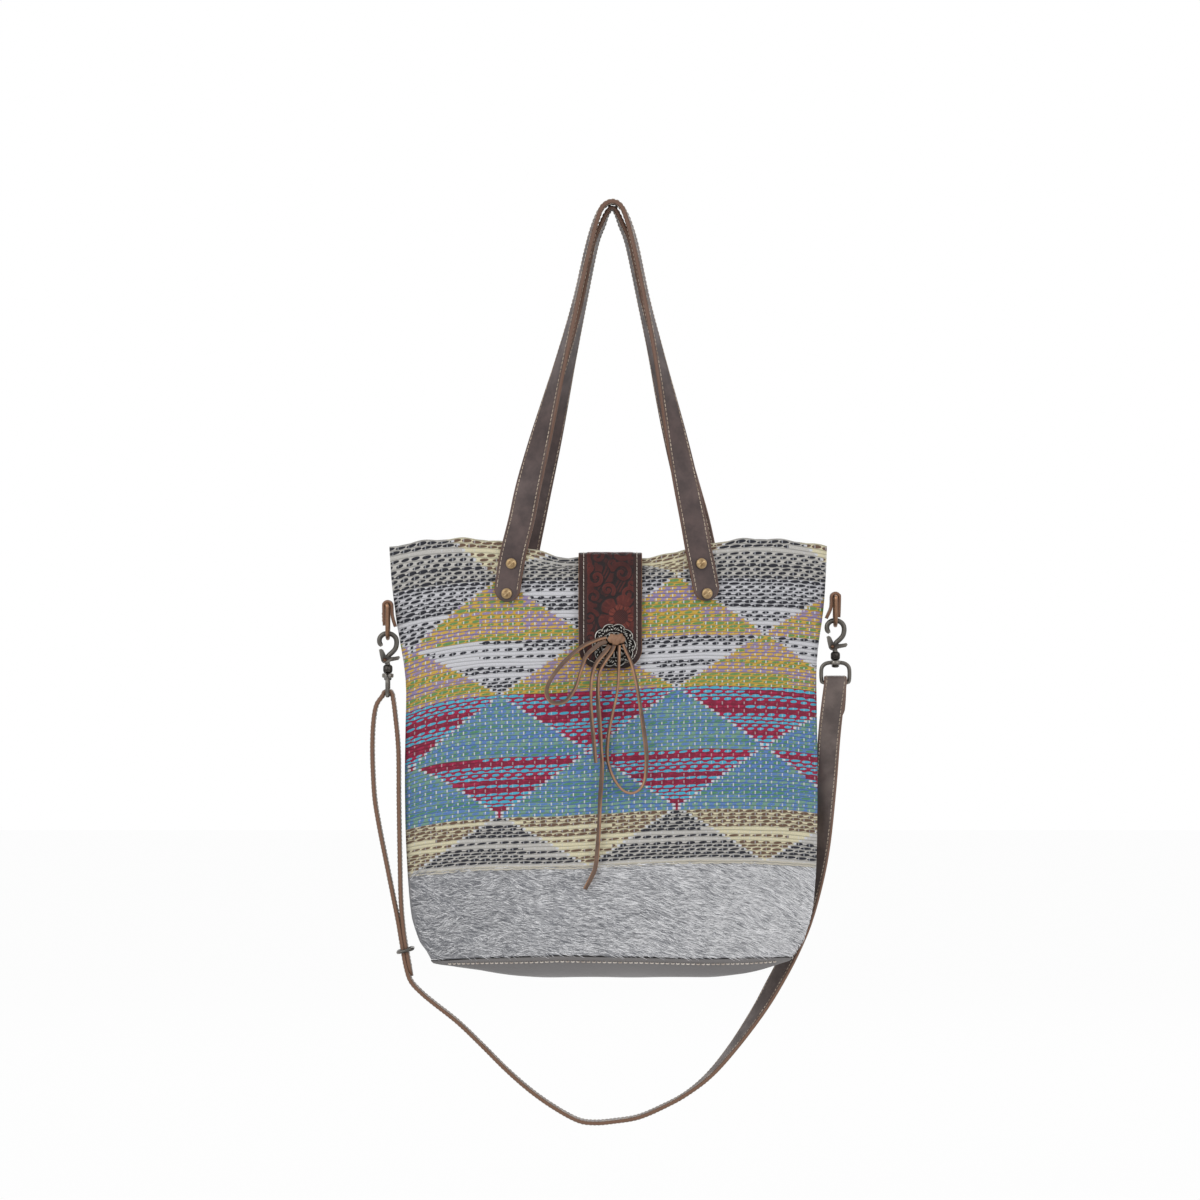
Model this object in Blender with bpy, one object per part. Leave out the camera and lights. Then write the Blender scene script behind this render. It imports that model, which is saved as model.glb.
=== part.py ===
"""Woven tote bag with a kilim-style body, leather handles, a tied flap and a long shoulder strap.

Frame: metres, X to the right, +Y to the back, +Z up. The origin is where the bag hangs, under the
apex of its inner handle. Sizes below are in millimetres and are turned into metres by MM.
"""
import math

import bmesh
import bpy
import numpy as np
from mathutils import Matrix, Vector

MM = 0.001
TOUCH_GAP = 0.3

# The bag's body: levels of its seams, the outline at stations, and the depth of its section.
MOUTH_Z = -281.0
MOUTH_DIP = 12.5
LATTICE_TOP_Z = -308.5
BAND_HEIGHTS = (49.5, 47.5, 51.0, 52.5, 45.5)
PART_BAND_HEIGHT = 48.5
BASE_SEAM_Z = -627.0
OUTLINE_Z = (-281.0, -330.0, -378.0, -420.0, -455.0, -510.0, -556.0, -590.0, -612.0, -627.0)
LEFT_X = (-187.0, -181.5, -173.5, -173.5, -174.0, -173.5, -171.5, -168.0, -161.5, -152.0)
RIGHT_X = (180.5, 178.0, 172.2, 172.0, 172.5, 172.5, 171.5, 168.0, 161.0, 151.5)
MOUTH_DEPTH = 30.0
BODY_DEPTH = 48.0
BASE_DEPTH = 50.0
BASE_SAG = 15.0
BASE_FLAT_WIDTH = 22.0
BASE_FLAT_LENGTH = 150.0
CLOTH = 2.4
HIDE = 2.2
LINING = 0.9
LINING_TOP_FLARE = 1.9
HEM_DEPTH = 26.0

# The weave: half the base of a lattice triangle, one apex column, and the height of a ridge.
HALF_BASE = 73.9
APEX_X = -94.0
RIDGE_PITCH = 9.6
COLUMN_STEPS = (2, 3, 3, 3, 3, 3, 2)
RIDGE_HEIGHT = 0.9

# Leather straps and their rivets.
HANDLE_WIDTH = 22.0
HANDLE_PLY = 3.6
HANDLE_TIP_Z = -329.5
HANDLE_LIFT = 0.5
HOOK_STAGGER = 5.0
RIVET_CAP_D = 9.0
RIVET_CAP_H = 1.6
RIVET_POST_D = 3.4
RIVET_LEVELS = (-298.0, -323.0)
STRAP_WIDTH = 19.0
STRAP_PLY = 3.2
LACE_WIDTH = 4.0
LACE_PLY = 2.2

# The flap and its ornament.
FLAP_X = -1.5
FLAP_WIDTH = 53.0
FLAP_PLY = 2.4
FLAP_END_Z = -385.5
FLAP_CORNER = 17.0
CONCHO_D = 33.0
CONCHO_LOBES = 8
CONCHO_Z = -366.0
CONCHO_X = 1.5

# Rings, snap hooks and eyes.
RING_WIDTH = 30.0
RING_HEIGHT = 27.0
RING_WIRE = 3.4
HOOK_WIRE = 4.2
EYE_WIDTH = 26.6
EYE_HEIGHT = 17.0
EYE_WIRE = 3.4
POST_D = 4.0
TAB_WIDTH = 17.0
TAB_PLY = 2.6
TAB_LENGTH = 18.0

COLOURS = {
    "cream": (0.62, 0.57, 0.43),
    "grey": (0.38, 0.38, 0.37),
    "gold": (0.52, 0.42, 0.14),
    "white": (0.56, 0.58, 0.62),
    "crimson": (0.42, 0.05, 0.12),
    "blue": (0.14, 0.26, 0.36),
    "hide": (0.36, 0.36, 0.37),
    "suede": (0.17, 0.165, 0.16),
    "lining": (0.45, 0.40, 0.32),
    "strap_leather": (0.13, 0.085, 0.07),
    "flap_leather": (0.065, 0.03, 0.025),
    "lace_leather": (0.22, 0.13, 0.085),
    "aged_silver": (0.32, 0.30, 0.27),
    "brass": (0.42, 0.30, 0.14),
    "gunmetal": (0.11, 0.10, 0.095),
    "aged_copper": (0.20, 0.12, 0.075),
    "spring_steel": (0.30, 0.30, 0.30),
}
METALS = ("aged_silver", "brass", "gunmetal", "aged_copper", "spring_steel")


def clear_scene():
    for item in list(bpy.data.objects):
        bpy.data.objects.remove(item, do_unlink=True)


def make_collections():
    parts = bpy.data.collections.new("woven_tote_bag")
    cutters = bpy.data.collections.new("cutters")
    bpy.context.scene.collection.children.link(parts)
    bpy.context.scene.collection.children.link(cutters)
    return parts, cutters


def material_of(name):
    found = bpy.data.materials.get(name)
    if found:
        return found
    made = bpy.data.materials.new(name)
    made.use_nodes = True
    shader = made.node_tree.nodes["Principled BSDF"]
    shader.inputs["Base Color"].default_value = (*COLOURS[name], 1.0)
    shader.inputs["Roughness"].default_value = 0.38 if name in METALS else 0.75
    shader.inputs["Metallic"].default_value = 1.0 if name in METALS else 0.0
    made.diffuse_color = (*COLOURS[name], 1.0)
    return made


def add_object(name, vertices, faces, slots, face_slots=None, joint_at=None):
    """A mesh object from vertices in millimetres, with outward normals and its origin at joint_at."""
    origin = Vector(joint_at) if joint_at else Vector((0.0, 0.0, 0.0))
    mesh = bpy.data.meshes.new(name)
    mesh.from_pydata([tuple((Vector(v) - origin) * MM) for v in vertices], [], faces)
    for slot in slots:
        mesh.materials.append(material_of(slot))
    if face_slots:
        for face, slot in zip(mesh.polygons, face_slots):
            face.material_index = slot
    work = bmesh.new()
    work.from_mesh(mesh)
    bmesh.ops.recalc_face_normals(work, faces=work.faces)
    if work.calc_volume(signed=True) < 0.0:
        bmesh.ops.reverse_faces(work, faces=work.faces)
    work.to_mesh(mesh)
    work.free()
    item = bpy.data.objects.new(name, mesh)
    item.location = origin * MM
    PARTS.objects.link(item)
    return item


def smooth_step(x):
    t = min(max(x, 0.0), 1.0)
    return t * t * (3.0 - 2.0 * t)


def station(z, values):
    """A value of the outline at height z, eased between its stations."""
    levels = OUTLINE_Z
    if z >= levels[0]:
        return values[0]
    for i in range(len(levels) - 1):
        if z >= levels[i + 1]:
            t = (levels[i] - z) / (levels[i] - levels[i + 1])
            before = values[max(i - 1, 0)]
            after = values[min(i + 2, len(values) - 1)]
            a, b = values[i], values[i + 1]
            slope_a, slope_b = (b - before) / 2.0, (after - a) / 2.0
            return (
                a * (2 * t**3 - 3 * t**2 + 1)
                + slope_a * (t**3 - 2 * t**2 + t)
                + b * (3 * t**2 - 2 * t**3)
                + slope_b * (t**3 - t**2)
            )
    return values[-1]


def edges_at(z):
    return station(z, LEFT_X), station(z, RIGHT_X)


def depth_at(z):
    """Half the bag's depth at its middle: a slim mouth that opens out towards the base."""
    down = (MOUTH_Z - z) / (MOUTH_Z - BASE_SEAM_Z)
    if down < 0.6:
        return MOUTH_DEPTH + (BODY_DEPTH - MOUTH_DEPTH) * smooth_step(down / 0.6)
    return BODY_DEPTH + (BASE_DEPTH - BODY_DEPTH) * smooth_step((down - 0.6) / 0.4)


def section_y(x, z, inset=0.0):
    """Distance of the cloth's outer face from the bag's middle plane, on a lens-shaped section."""
    left, right = edges_at(z)
    u = (2.0 * x - left - right) / (right - left)
    return depth_at(z) * max(1.0 - u * u, 0.0) - inset


def mouth_z(x):
    """The mouth's upper edge, pulled up by the handles and low between them."""
    dip = smooth_step(1.5 * (1.0 - abs(x + 3.0) / 92.0))
    return MOUTH_Z - MOUTH_DIP * dip


def row_shift(x, z):
    """How far a weft row is raised at x: a slight tilt, and a droop close to the side seams."""
    left, right = edges_at(z)
    u = (2.0 * x - left - right) / (right - left)
    curl = 9.0 * abs(u) ** 6 * (1.0 if u < 0.0 else 0.6)
    return 0.014 * x - curl * smooth_step((z - BASE_SEAM_Z) / 60.0)


def band_levels():
    levels = [LATTICE_TOP_Z]
    for height in BAND_HEIGHTS:
        levels.append(levels[-1] - height)
    return levels


WOVEN_END_Z = LATTICE_TOP_Z - sum(BAND_HEIGHTS)


def columns_at(z):
    """The x of each mesh column at height z: lattice diagonals with even steps between them."""
    levels = band_levels()
    band = sum(1 for level in levels if z < level)
    if band == 0:
        f = (LATTICE_TOP_Z + PART_BAND_HEIGHT - z) / PART_BAND_HEIGHT
    else:
        band = min(band, len(BAND_HEIGHTS))
        f = (levels[band - 1] - z) / BAND_HEIGHTS[band - 1]
    spread = f if band % 2 else 1.0 - f
    spread = min(max(spread, 0.07), 0.93)
    evening = smooth_step((WOVEN_END_Z - 1.0 - z) / 16.0)
    spread = (spread + (0.5 - spread) * evening) * HALF_BASE
    left, right = edges_at(z)
    period = 2.0 * HALF_BASE
    marks = [
        APEX_X - period + spread,
        APEX_X - spread,
        APEX_X + spread,
        APEX_X + period - spread,
        APEX_X + period + spread,
        APEX_X + 2.0 * period - spread,
    ]
    marks[0] = max(marks[0], left + 3.0)
    marks[1] = max(marks[1], marks[0] + 2.0)
    marks[5] = min(marks[5], right - 3.0)
    marks[4] = min(marks[4], marks[5] - 2.0)
    stops = [left] + marks + [right]
    columns = [left]
    for a, b, steps in zip(stops, stops[1:], COLUMN_STEPS):
        columns.extend(a + (b - a) * k / steps for k in range(1, steps + 1))
    return columns


def field_of(z, column):
    """The colour field that a face belongs to, from its band and its place in the lattice."""
    levels = band_levels()
    band = sum(1 for level in levels if z < level)
    interval = 0
    while column >= sum(COLUMN_STEPS[: interval + 1]):
        interval += 1
    in_apex_column = interval % 2 == 0
    pairs = (
        ("cream", "grey"),
        ("gold", "white"),
        ("white", "gold"),
        ("blue", "crimson"),
        ("crimson", "blue"),
        ("grey", "cream"),
    )
    pair = pairs[min(band, len(pairs) - 1)]
    return pair[0] if in_apex_column else pair[1]


def surface_point(x, z_row, side, lift):
    """A point of the body at x on row z_row, lift outwards from the panel's inner face."""
    fade = smooth_step((z_row - LATTICE_TOP_Z) / (MOUTH_Z - LATTICE_TOP_Z))
    dip = (MOUTH_Z - mouth_z(x)) * fade
    z = z_row + row_shift(x, z_row) * (1.0 - fade) - dip
    return x, side * (section_y(x, z_row) + lift), z


def shell(name, rows, lifts, side, slots, face_field=None):
    """One cloth panel: outer rows at the given lifts, a smooth inner face, and closed edges."""
    low = TOUCH_GAP / 2.0
    vertices, faces, fields = [], [], []
    width = len(columns_at(rows[0]))
    for z, lift in zip(rows, lifts):
        for x in columns_at(z):
            vertices.append(surface_point(x, z, side, low + lift))
    inner_rows = [0, len(rows) - 1]
    inner_rows[1:1] = range(3, len(rows) - 3, 3)
    start = len(vertices)
    for r in inner_rows:
        for x in columns_at(rows[r]):
            vertices.append(surface_point(x, rows[r], side, low))
    for r in range(len(rows) - 1):
        for c in range(width - 1):
            a = r * width + c
            faces.append((a, a + 1, a + width + 1, a + width))
            fields.append(face_field((rows[r] + rows[r + 1]) / 2.0, c) if face_field else 0)
    for r in range(len(inner_rows) - 1):
        for c in range(width - 1):
            a = start + r * width + c
            faces.append((a, a + width, a + width + 1, a + 1))
            fields.append(0)
    for c in range(width - 1):
        bottom = (len(rows) - 1) * width + c
        inner_bottom = start + (len(inner_rows) - 1) * width + c
        faces.append((c, start + c, start + c + 1, c + 1))
        faces.append((bottom, bottom + 1, inner_bottom + 1, inner_bottom))
        fields.extend([0, 0])
    for r in range(len(inner_rows) - 1):
        for c in (0, width - 1):
            outer = [k * width + c for k in range(inner_rows[r], inner_rows[r + 1] + 1)]
            upper = start + r * width + c
            for a, b in zip(outer, outer[1:]):
                faces.append((a, b, upper))
                fields.append(0)
            faces.append((outer[-1], upper + width, upper))
            fields.append(0)
    return add_object(name, vertices, faces, slots, fields)


FIELDS = ("cream", "grey", "gold", "white", "crimson", "blue")


def woven_panel(name, side):
    """A woven panel: one ridge for each pair of weft picks, coloured by the triangle lattice."""
    levels = [MOUTH_Z] + band_levels()
    rows, lifts = [], []
    for top, bottom in zip(levels, levels[1:]):
        ridges = max(3, round((top - bottom) / RIDGE_PITCH))
        step = (top - bottom) / ridges
        for k in range(ridges):
            rows.extend([top - k * step, top - (k + 0.5) * step])
            lifts.extend([CLOTH, CLOTH + RIDGE_HEIGHT])
    rows.append(levels[-1])
    lifts.append(CLOTH)
    return shell(name, rows, lifts, side, FIELDS, lambda z, c: FIELDS.index(field_of(z, c)))


def hide_band(name, side):
    """The hair-on hide band under the weave, a smooth shell down to the base seam."""
    top = WOVEN_END_Z - TOUCH_GAP
    count = 7
    rows = [top + (BASE_SEAM_Z - top) * k / (count - 1) for k in range(count)]
    return shell(name, rows, [HIDE] * count, side, ["hide"])


def base_panel():
    """The pointed oval base, sagging to a flat strip along its lowest middle."""
    left, right = edges_at(BASE_SEAM_Z)
    middle = (left + right) / 2.0
    half = (right - left) / 2.0
    flat_half = BASE_FLAT_LENGTH / 2.0
    side_steps = [flat_half + (half - flat_half) * k / 4.0 for k in range(1, 5)]
    xs = [-x for x in reversed(side_steps)] + [-flat_half, -flat_half / 2.0, 0.0]
    xs += [flat_half / 2.0, flat_half] + side_steps
    flat_y = BASE_FLAT_WIDTH / 2.0
    vertices, faces = [], []
    for layer in (0.0, HIDE):
        for dx in xs:
            x = middle + dx
            edge = section_y(x, BASE_SEAM_Z) + HIDE * 0.9
            inner = min(flat_y, edge * 0.45)
            steps = (-1.0, -0.8, -0.5, -0.2, 0.0)
            ys = [-inner + (edge - inner) * t for t in steps]
            ys = ys + [-y for y in reversed(ys)]
            along = max(abs(dx) - flat_half, 0.0) / (half - flat_half)
            for y in ys:
                across = max(abs(y) - inner, 0.0) / (edge - inner)
                sag = BASE_SAG * (1.0 - across**2) * (1.0 - along**2)
                tilt = row_shift(x, BASE_SEAM_Z) * (1.0 - sag / BASE_SAG)
                vertices.append((x, y, BASE_SEAM_Z - TOUCH_GAP - sag - layer + tilt))
    per_row = 10
    count = len(xs)
    for r in range(count - 1):
        for c in range(per_row - 1):
            a = r * per_row + c
            b = a + count * per_row
            faces.append((a, a + 1, a + per_row + 1, a + per_row))
            faces.append((b, b + per_row, b + per_row + 1, b + 1))
    rim = list(range(per_row)) + [r * per_row + per_row - 1 for r in range(1, count)]
    rim += [(count - 1) * per_row + c for c in range(per_row - 2, -1, -1)]
    rim += [r * per_row for r in range(count - 2, 0, -1)]
    for a, b in zip(rim, rim[1:] + rim[:1]):
        faces.append((a, b, b + count * per_row, a + count * per_row))
    return add_object("base_panel", vertices, faces, ["suede"])


def lining():
    """The cloth inner bag, hanging clear of the panels, open at the mouth."""
    count = 12
    top, bottom = HANDLE_TIP_Z - 6.0, BASE_SEAM_Z + 6.0
    levels = [top + (bottom - top) * k / 9.0 for k in range(10)]
    vertices, faces = [], []
    for inset_x, inset_y, lift in ((5.0, 2.8, 0.0), (8.0, 2.8 + LINING, LINING)):
        for z in levels:
            left, right = edges_at(z)
            middle, half = (left + right) / 2.0, (right - left) / 2.0 - inset_x
            deep = depth_at(z) - inset_y + (LINING_TOP_FLARE if z == levels[0] else 0.0)
            ring_z = z + (lift if z == levels[-1] else 0.0)
            for k in range(2 * count):
                u = math.cos(math.pi * k / count)
                y = deep * (1.0 - u * u) * (1.0 if k <= count else -1.0)
                vertices.append((middle + half * u, y, ring_z))
    ring = 2 * count
    inner = len(levels) * ring
    for r in range(len(levels) - 1):
        for k in range(ring):
            n = (k + 1) % ring
            a, b = r * ring + k, r * ring + n
            faces.append((a, b, b + ring, a + ring))
            faces.append((inner + a, inner + a + ring, inner + b + ring, inner + b))
    for k in range(ring):
        n = (k + 1) % ring
        faces.append((k, n, inner + n, inner + k))
    for base in (inner - ring, 2 * inner - ring):
        centre = len(vertices)
        x_sum = sum(vertices[base + k][0] for k in range(ring)) / ring
        vertices.append((x_sum, 0.0, vertices[base][2]))
        for k in range(ring):
            faces.append((base + k, base + (k + 1) % ring, centre))
    return add_object("lining", vertices, faces, ["lining"])


def smooth_path(points, step):
    """Points at even steps along a smooth curve through the given points of any dimension."""
    p = np.array(points, float)
    ends = np.vstack([2.0 * p[0] - p[1], p, 2.0 * p[-1] - p[-2]])
    fine = []
    for i in range(1, len(ends) - 2):
        a, b, c, d = ends[i - 1 : i + 3]
        for t in np.linspace(0.0, 1.0, 24, endpoint=False):
            bend = (2 * a - 5 * b + 4 * c - d) * t**2 + (3 * b - a - 3 * c + d) * t**3
            fine.append(0.5 * (2 * b + (c - a) * t + bend))
    fine.append(p[-1])
    fine = np.array(fine)
    lengths = np.linalg.norm(np.diff(fine[:, :3], axis=0), axis=1)
    run = np.concatenate([[0.0], np.cumsum(lengths)])
    count = max(4, int(round(run[-1] / step)) + 1)
    at = np.linspace(0.0, run[-1], count)
    return np.stack([np.interp(at, run, fine[:, k]) for k in range(fine.shape[1])], axis=1)


def strap(name, path, widths, across, ply, slot, joint_at=None):
    """A leather strap with eased edges, swept along path; across holds its width direction."""
    vertices, faces = [], []
    path = [Vector(p) for p in path]
    ease = min(0.9, ply * 0.3)
    for i, centre in enumerate(path):
        ahead = path[min(i + 1, len(path) - 1)] - path[max(i - 1, 0)]
        ahead.normalize()
        wide = Vector(across[i])
        wide = (wide - ahead * wide.dot(ahead)).normalized()
        thick = ahead.cross(wide)
        w, t = widths[i] / 2.0, ply / 2.0
        corners = (
            (w, t - ease), (w - ease, t), (ease - w, t), (-w, t - ease),
            (-w, ease - t), (ease - w, -t), (w - ease, -t), (w, ease - t),
        )
        vertices.extend(centre + wide * a + thick * b for a, b in corners)
    for i in range(len(path) - 1):
        for k in range(8):
            n = (k + 1) % 8
            faces.append((8 * i + k, 8 * i + n, 8 * i + 8 + n, 8 * i + 8 + k))
    last = 8 * (len(path) - 1)
    faces.append(tuple(range(7, -1, -1)))
    faces.append(tuple(last + k for k in range(8)))
    return add_object(name, vertices, faces, [slot], None, joint_at)


def rounded_widths(path, width, start=True, end=True):
    """The strap's width at each point, rounded to a half circle at its ends."""
    run = [0.0]
    for a, b in zip(path, path[1:]):
        run.append(run[-1] + (Vector(b) - Vector(a)).length)
    radius = width / 2.0
    found = []
    for s in run:
        near = radius
        if start:
            near = min(near, s)
        if end:
            near = min(near, run[-1] - s)
        found.append(width * max(math.sqrt(max(1.0 - (1.0 - near / radius) ** 2, 0.0)), 0.3))
    return found


def tube(points, radius, closed=False, sides=8):
    """Vertices and faces of round wire along points, in millimetres."""
    points = [Vector(p) for p in points]
    count = len(points)
    vertices, faces = [], []
    normal = None
    for i, centre in enumerate(points):
        if closed:
            ahead = points[(i + 1) % count] - points[i - 1]
        else:
            ahead = points[min(i + 1, count - 1)] - points[max(i - 1, 0)]
        ahead.normalize()
        if normal is None:
            normal = ahead.cross(Vector((0.0, 1.0, 0.0)))
            if normal.length < 0.1:
                normal = ahead.cross(Vector((1.0, 0.0, 0.0)))
        normal = (normal - ahead * normal.dot(ahead)).normalized()
        other = ahead.cross(normal)
        for k in range(sides):
            angle = 2.0 * math.pi * k / sides
            vertices.append(centre + (normal * math.cos(angle) + other * math.sin(angle)) * radius)
    for i in range(count if closed else count - 1):
        j = (i + 1) % count
        for k in range(sides):
            n = (k + 1) % sides
            faces.append((sides * i + k, sides * i + n, sides * j + n, sides * j + k))
    if not closed:
        faces.append(tuple(range(sides - 1, -1, -1)))
        faces.append(tuple(sides * (count - 1) + k for k in range(sides)))
    return vertices, faces


def turned(profile, centre, axis="Z", sides=16):
    """Vertices and faces of a solid turned about an axis; profile holds (radius, height) pairs."""
    vertices, faces = [], []
    for radius, height in profile:
        for k in range(sides):
            angle = 2.0 * math.pi * k / sides
            a, b = radius * math.cos(angle), radius * math.sin(angle)
            offset = (a, b, height) if axis == "Z" else (a, height, b)
            vertices.append(Vector(centre) + Vector(offset))
    for i in range(len(profile) - 1):
        for k in range(sides):
            n = (k + 1) % sides
            faces.append((sides * i + k, sides * i + n, sides * i + sides + n, sides * i + sides + k))
    faces.append(tuple(range(sides - 1, -1, -1)))
    faces.append(tuple(sides * (len(profile) - 1) + k for k in range(sides)))
    return vertices, faces


def block(low, high):
    corners = [(x, y, z) for x in (low[0], high[0]) for y in (low[1], high[1]) for z in (low[2], high[2])]
    faces = [(0, 1, 3, 2), (4, 6, 7, 5), (0, 4, 5, 1), (2, 3, 7, 6), (0, 2, 6, 4), (1, 5, 7, 3)]
    return corners, faces


def plate(outline, y_low, y_high):
    """A flat piece with an outline in the XZ plane, from y_low to y_high."""
    count = len(outline)
    vertices = [(x, y_low, z) for x, z in outline] + [(x, y_high, z) for x, z in outline]
    faces = [tuple(range(count)), tuple(range(2 * count - 1, count - 1, -1))]
    for k in range(count):
        n = (k + 1) % count
        faces.append((k, n, count + n, count + k))
    return vertices, faces


def combine(target, name, shape, operation):
    """Cut or join a shape, kept as its own object among the cutters, with an exact Boolean."""
    tool = add_object(name, shape[0], shape[1], [target.data.materials[0].name])
    PARTS.objects.unlink(tool)
    CUTTERS.objects.link(tool)
    tool.hide_render = True
    tool.display_type = "WIRE"
    change = target.modifiers.new(name, "BOOLEAN")
    change.operation = operation
    change.solver = "EXACT"
    change.object = tool
    return tool


def panel_face_y(x, z, side):
    """Outermost y of the woven panel's ridges at x and z."""
    return side * (section_y(x, z) + TOUCH_GAP / 2.0 + CLOTH + RIDGE_HEIGHT)


def handle_path(left_leg, right_leg, apex_z, side):
    """Centre line of a handle, up one leg, over the hook and down the other.

    Each station holds x, y, z, the turn of the strap's width from X to Y, and the panel's slope.
    """
    lift = TOUCH_GAP + HANDLE_PLY / 2.0 + HANDLE_LIFT
    stations = []
    for leg in (left_leg, list(reversed(right_leg))):
        for x, z in leg:
            on_bag = min(z, MOUTH_Z)
            rim_y = abs(panel_face_y(x, on_bag, side)) + lift
            slope = (panel_face_y(x + 5.0, on_bag, side) - panel_face_y(x - 5.0, on_bag, side)) / 10.0
            rise = min(max((z - MOUTH_Z) / (apex_z - MOUTH_Z), 0.0), 1.0)
            y = side * (rim_y * (1.0 - rise) + HOOK_STAGGER * rise)
            turn = 90.0 * smooth_step(rise / 0.74)
            stations.append((x, y, z, turn, slope * (1.0 - rise)))
        if leg is left_leg:
            stations.append((0.3, side * HOOK_STAGGER, apex_z, 90.0, 0.0))
    return smooth_path(stations, 12.0)


FRONT_LEFT = (
    (-89.0, -330.0), (-84.5, -300.0), (-81.0, -283.0), (-75.5, -261.0), (-68.5, -228.0),
    (-51.0, -160.0), (-40.0, -118.0), (-29.5, -76.0), (-19.0, -30.0), (-12.6, -8.0), (-7.4, 2.0),
)
FRONT_RIGHT = (
    (80.5, -329.0), (75.0, -300.0), (71.5, -283.0), (67.6, -261.0), (61.0, -228.0),
    (47.0, -160.0), (38.0, -118.0), (28.6, -76.0), (19.0, -30.0), (12.6, -8.0), (7.4, 2.0),
)
BACK_LEFT = (
    (-78.0, -330.0), (-74.5, -300.0), (-71.5, -283.0), (-67.0, -261.0), (-60.0, -228.0),
    (-43.5, -160.0), (-33.5, -118.0), (-24.0, -76.0), (-14.6, -30.0), (-8.0, -12.5), (-4.4, -3.6),
)
BACK_RIGHT = (
    (88.0, -329.0), (80.5, -300.0), (76.5, -283.0), (71.5, -261.0), (62.5, -228.0),
    (44.5, -160.0), (34.5, -118.0), (24.4, -76.0), (14.6, -30.0), (8.0, -12.5), (4.4, -3.6),
)


def make_handle(name, left_leg, right_leg, apex_z, side):
    route = handle_path(left_leg, right_leg, apex_z, side)
    path = [tuple(p[:3]) for p in route]
    highest = max(range(len(path)), key=lambda i: path[i][2])
    signed = []
    for i, (_, _, _, degrees, slope) in enumerate(route):
        angle = math.radians(degrees)
        sign = -1.0 if i > highest else 1.0
        wide = Vector((1.0, slope, 0.0)).normalized() * (sign * math.cos(angle))
        signed.append(wide + Vector((0.0, side * math.sin(angle), 0.0)))
    widths = rounded_widths(path, HANDLE_WIDTH)
    return strap(name, path, widths, signed, HANDLE_PLY, "strap_leather")


def rivet(name, x, z, side, target_handle, target_panel):
    """A double-cap rivet through handle and panel, each with its own clearance hole."""
    inner = section_y(x, z) + TOUCH_GAP / 2.0
    outer = abs(panel_face_y(x, z, side)) + TOUCH_GAP + HANDLE_PLY + HANDLE_LIFT + 1.2
    slope = TOUCH_GAP + 1.7
    cap, post = RIVET_CAP_D / 2.0, RIVET_POST_D / 2.0
    profile = [
        (cap * 0.75, inner - slope - 1.2), (cap, inner - slope - 0.7), (cap, inner - slope),
        (post, inner - slope), (post, outer + TOUCH_GAP), (cap, outer + TOUCH_GAP),
        (cap, outer + TOUCH_GAP + RIVET_CAP_H * 0.5), (cap * 0.7, outer + TOUCH_GAP + RIVET_CAP_H),
    ]
    shape = turned([(r, side * h) for r, h in profile], (x, 0.0, z), "Y", 12)
    add_object(name, shape[0], shape[1], ["brass"])
    hole = turned(
        [(post + TOUCH_GAP, side * (inner - 8.0)), (post + TOUCH_GAP, side * (outer + 8.0))],
        (x, 0.0, z), "Y", 12,
    )
    for target in (target_handle, target_panel):
        combine(target, name + "_hole_in_" + target.name, hole, "DIFFERENCE")


def handle_centre(legs, z):
    """x of a handle's centre line at height z on the bag."""
    (x0, z0), (x1, z1) = legs[0], legs[1]
    return x0 + (x1 - x0) * (z - z0) / (z1 - z0)


def closure_flap():
    """The tooled flap: from the back hem over the mouth and down the front, rounded at its end."""
    lift = TOUCH_GAP + FLAP_PLY / 2.0
    top = mouth_z(FLAP_X)
    back_y = section_y(FLAP_X, MOUTH_Z) + CLOTH * 0.5
    front = [(y_z, -panel_face_y(FLAP_X, y_z, 1) - lift) for y_z in (-300.0, -320.0, -340.0, -362.0)]
    stations = [
        (FLAP_X, back_y, top + lift + 0.6),
        (FLAP_X, back_y - 18.0, top + lift + 2.2),
        (FLAP_X, 0.0, top + lift + 2.0),
        (FLAP_X, -back_y + 10.0, top + lift + 2.0),
        (FLAP_X, front[0][1] + 1.2, top + lift + 1.2),
        (FLAP_X, front[0][1] - 2.4, top - 4.0),
    ]
    stations += [(FLAP_X, y - 1.5, z) for z, y in front[1:]]
    stations.append((FLAP_X, -panel_face_y(FLAP_X, FLAP_END_Z, 1) - lift - 1.5, FLAP_END_Z))
    route = [tuple(p) for p in smooth_path(stations, 5.0)]
    across = [(1.0, 0.0, 0.0)] * len(route)
    widths = []
    run = 0.0
    lengths = [0.0]
    for a, b in zip(route, route[1:]):
        run += (Vector(b) - Vector(a)).length
        lengths.append(run)
    for s in lengths:
        near = min(run - s, FLAP_CORNER)
        inset = FLAP_CORNER - math.sqrt(max(FLAP_CORNER**2 - (FLAP_CORNER - near) ** 2, 0.0))
        widths.append(FLAP_WIDTH - 2.0 * inset)
    return strap("closure_flap", route, widths, across, FLAP_PLY, "flap_leather", FLAP_HINGE)


FLAP_HINGE = (FLAP_X, section_y(FLAP_X, MOUTH_Z) + CLOTH * 0.5, mouth_z(FLAP_X) + 2.0)


def flap_front_y(z):
    """The flap's outer face at height z."""
    return -(panel_face_y(FLAP_X, z, 1) + TOUCH_GAP + FLAP_PLY + 1.8)


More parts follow.
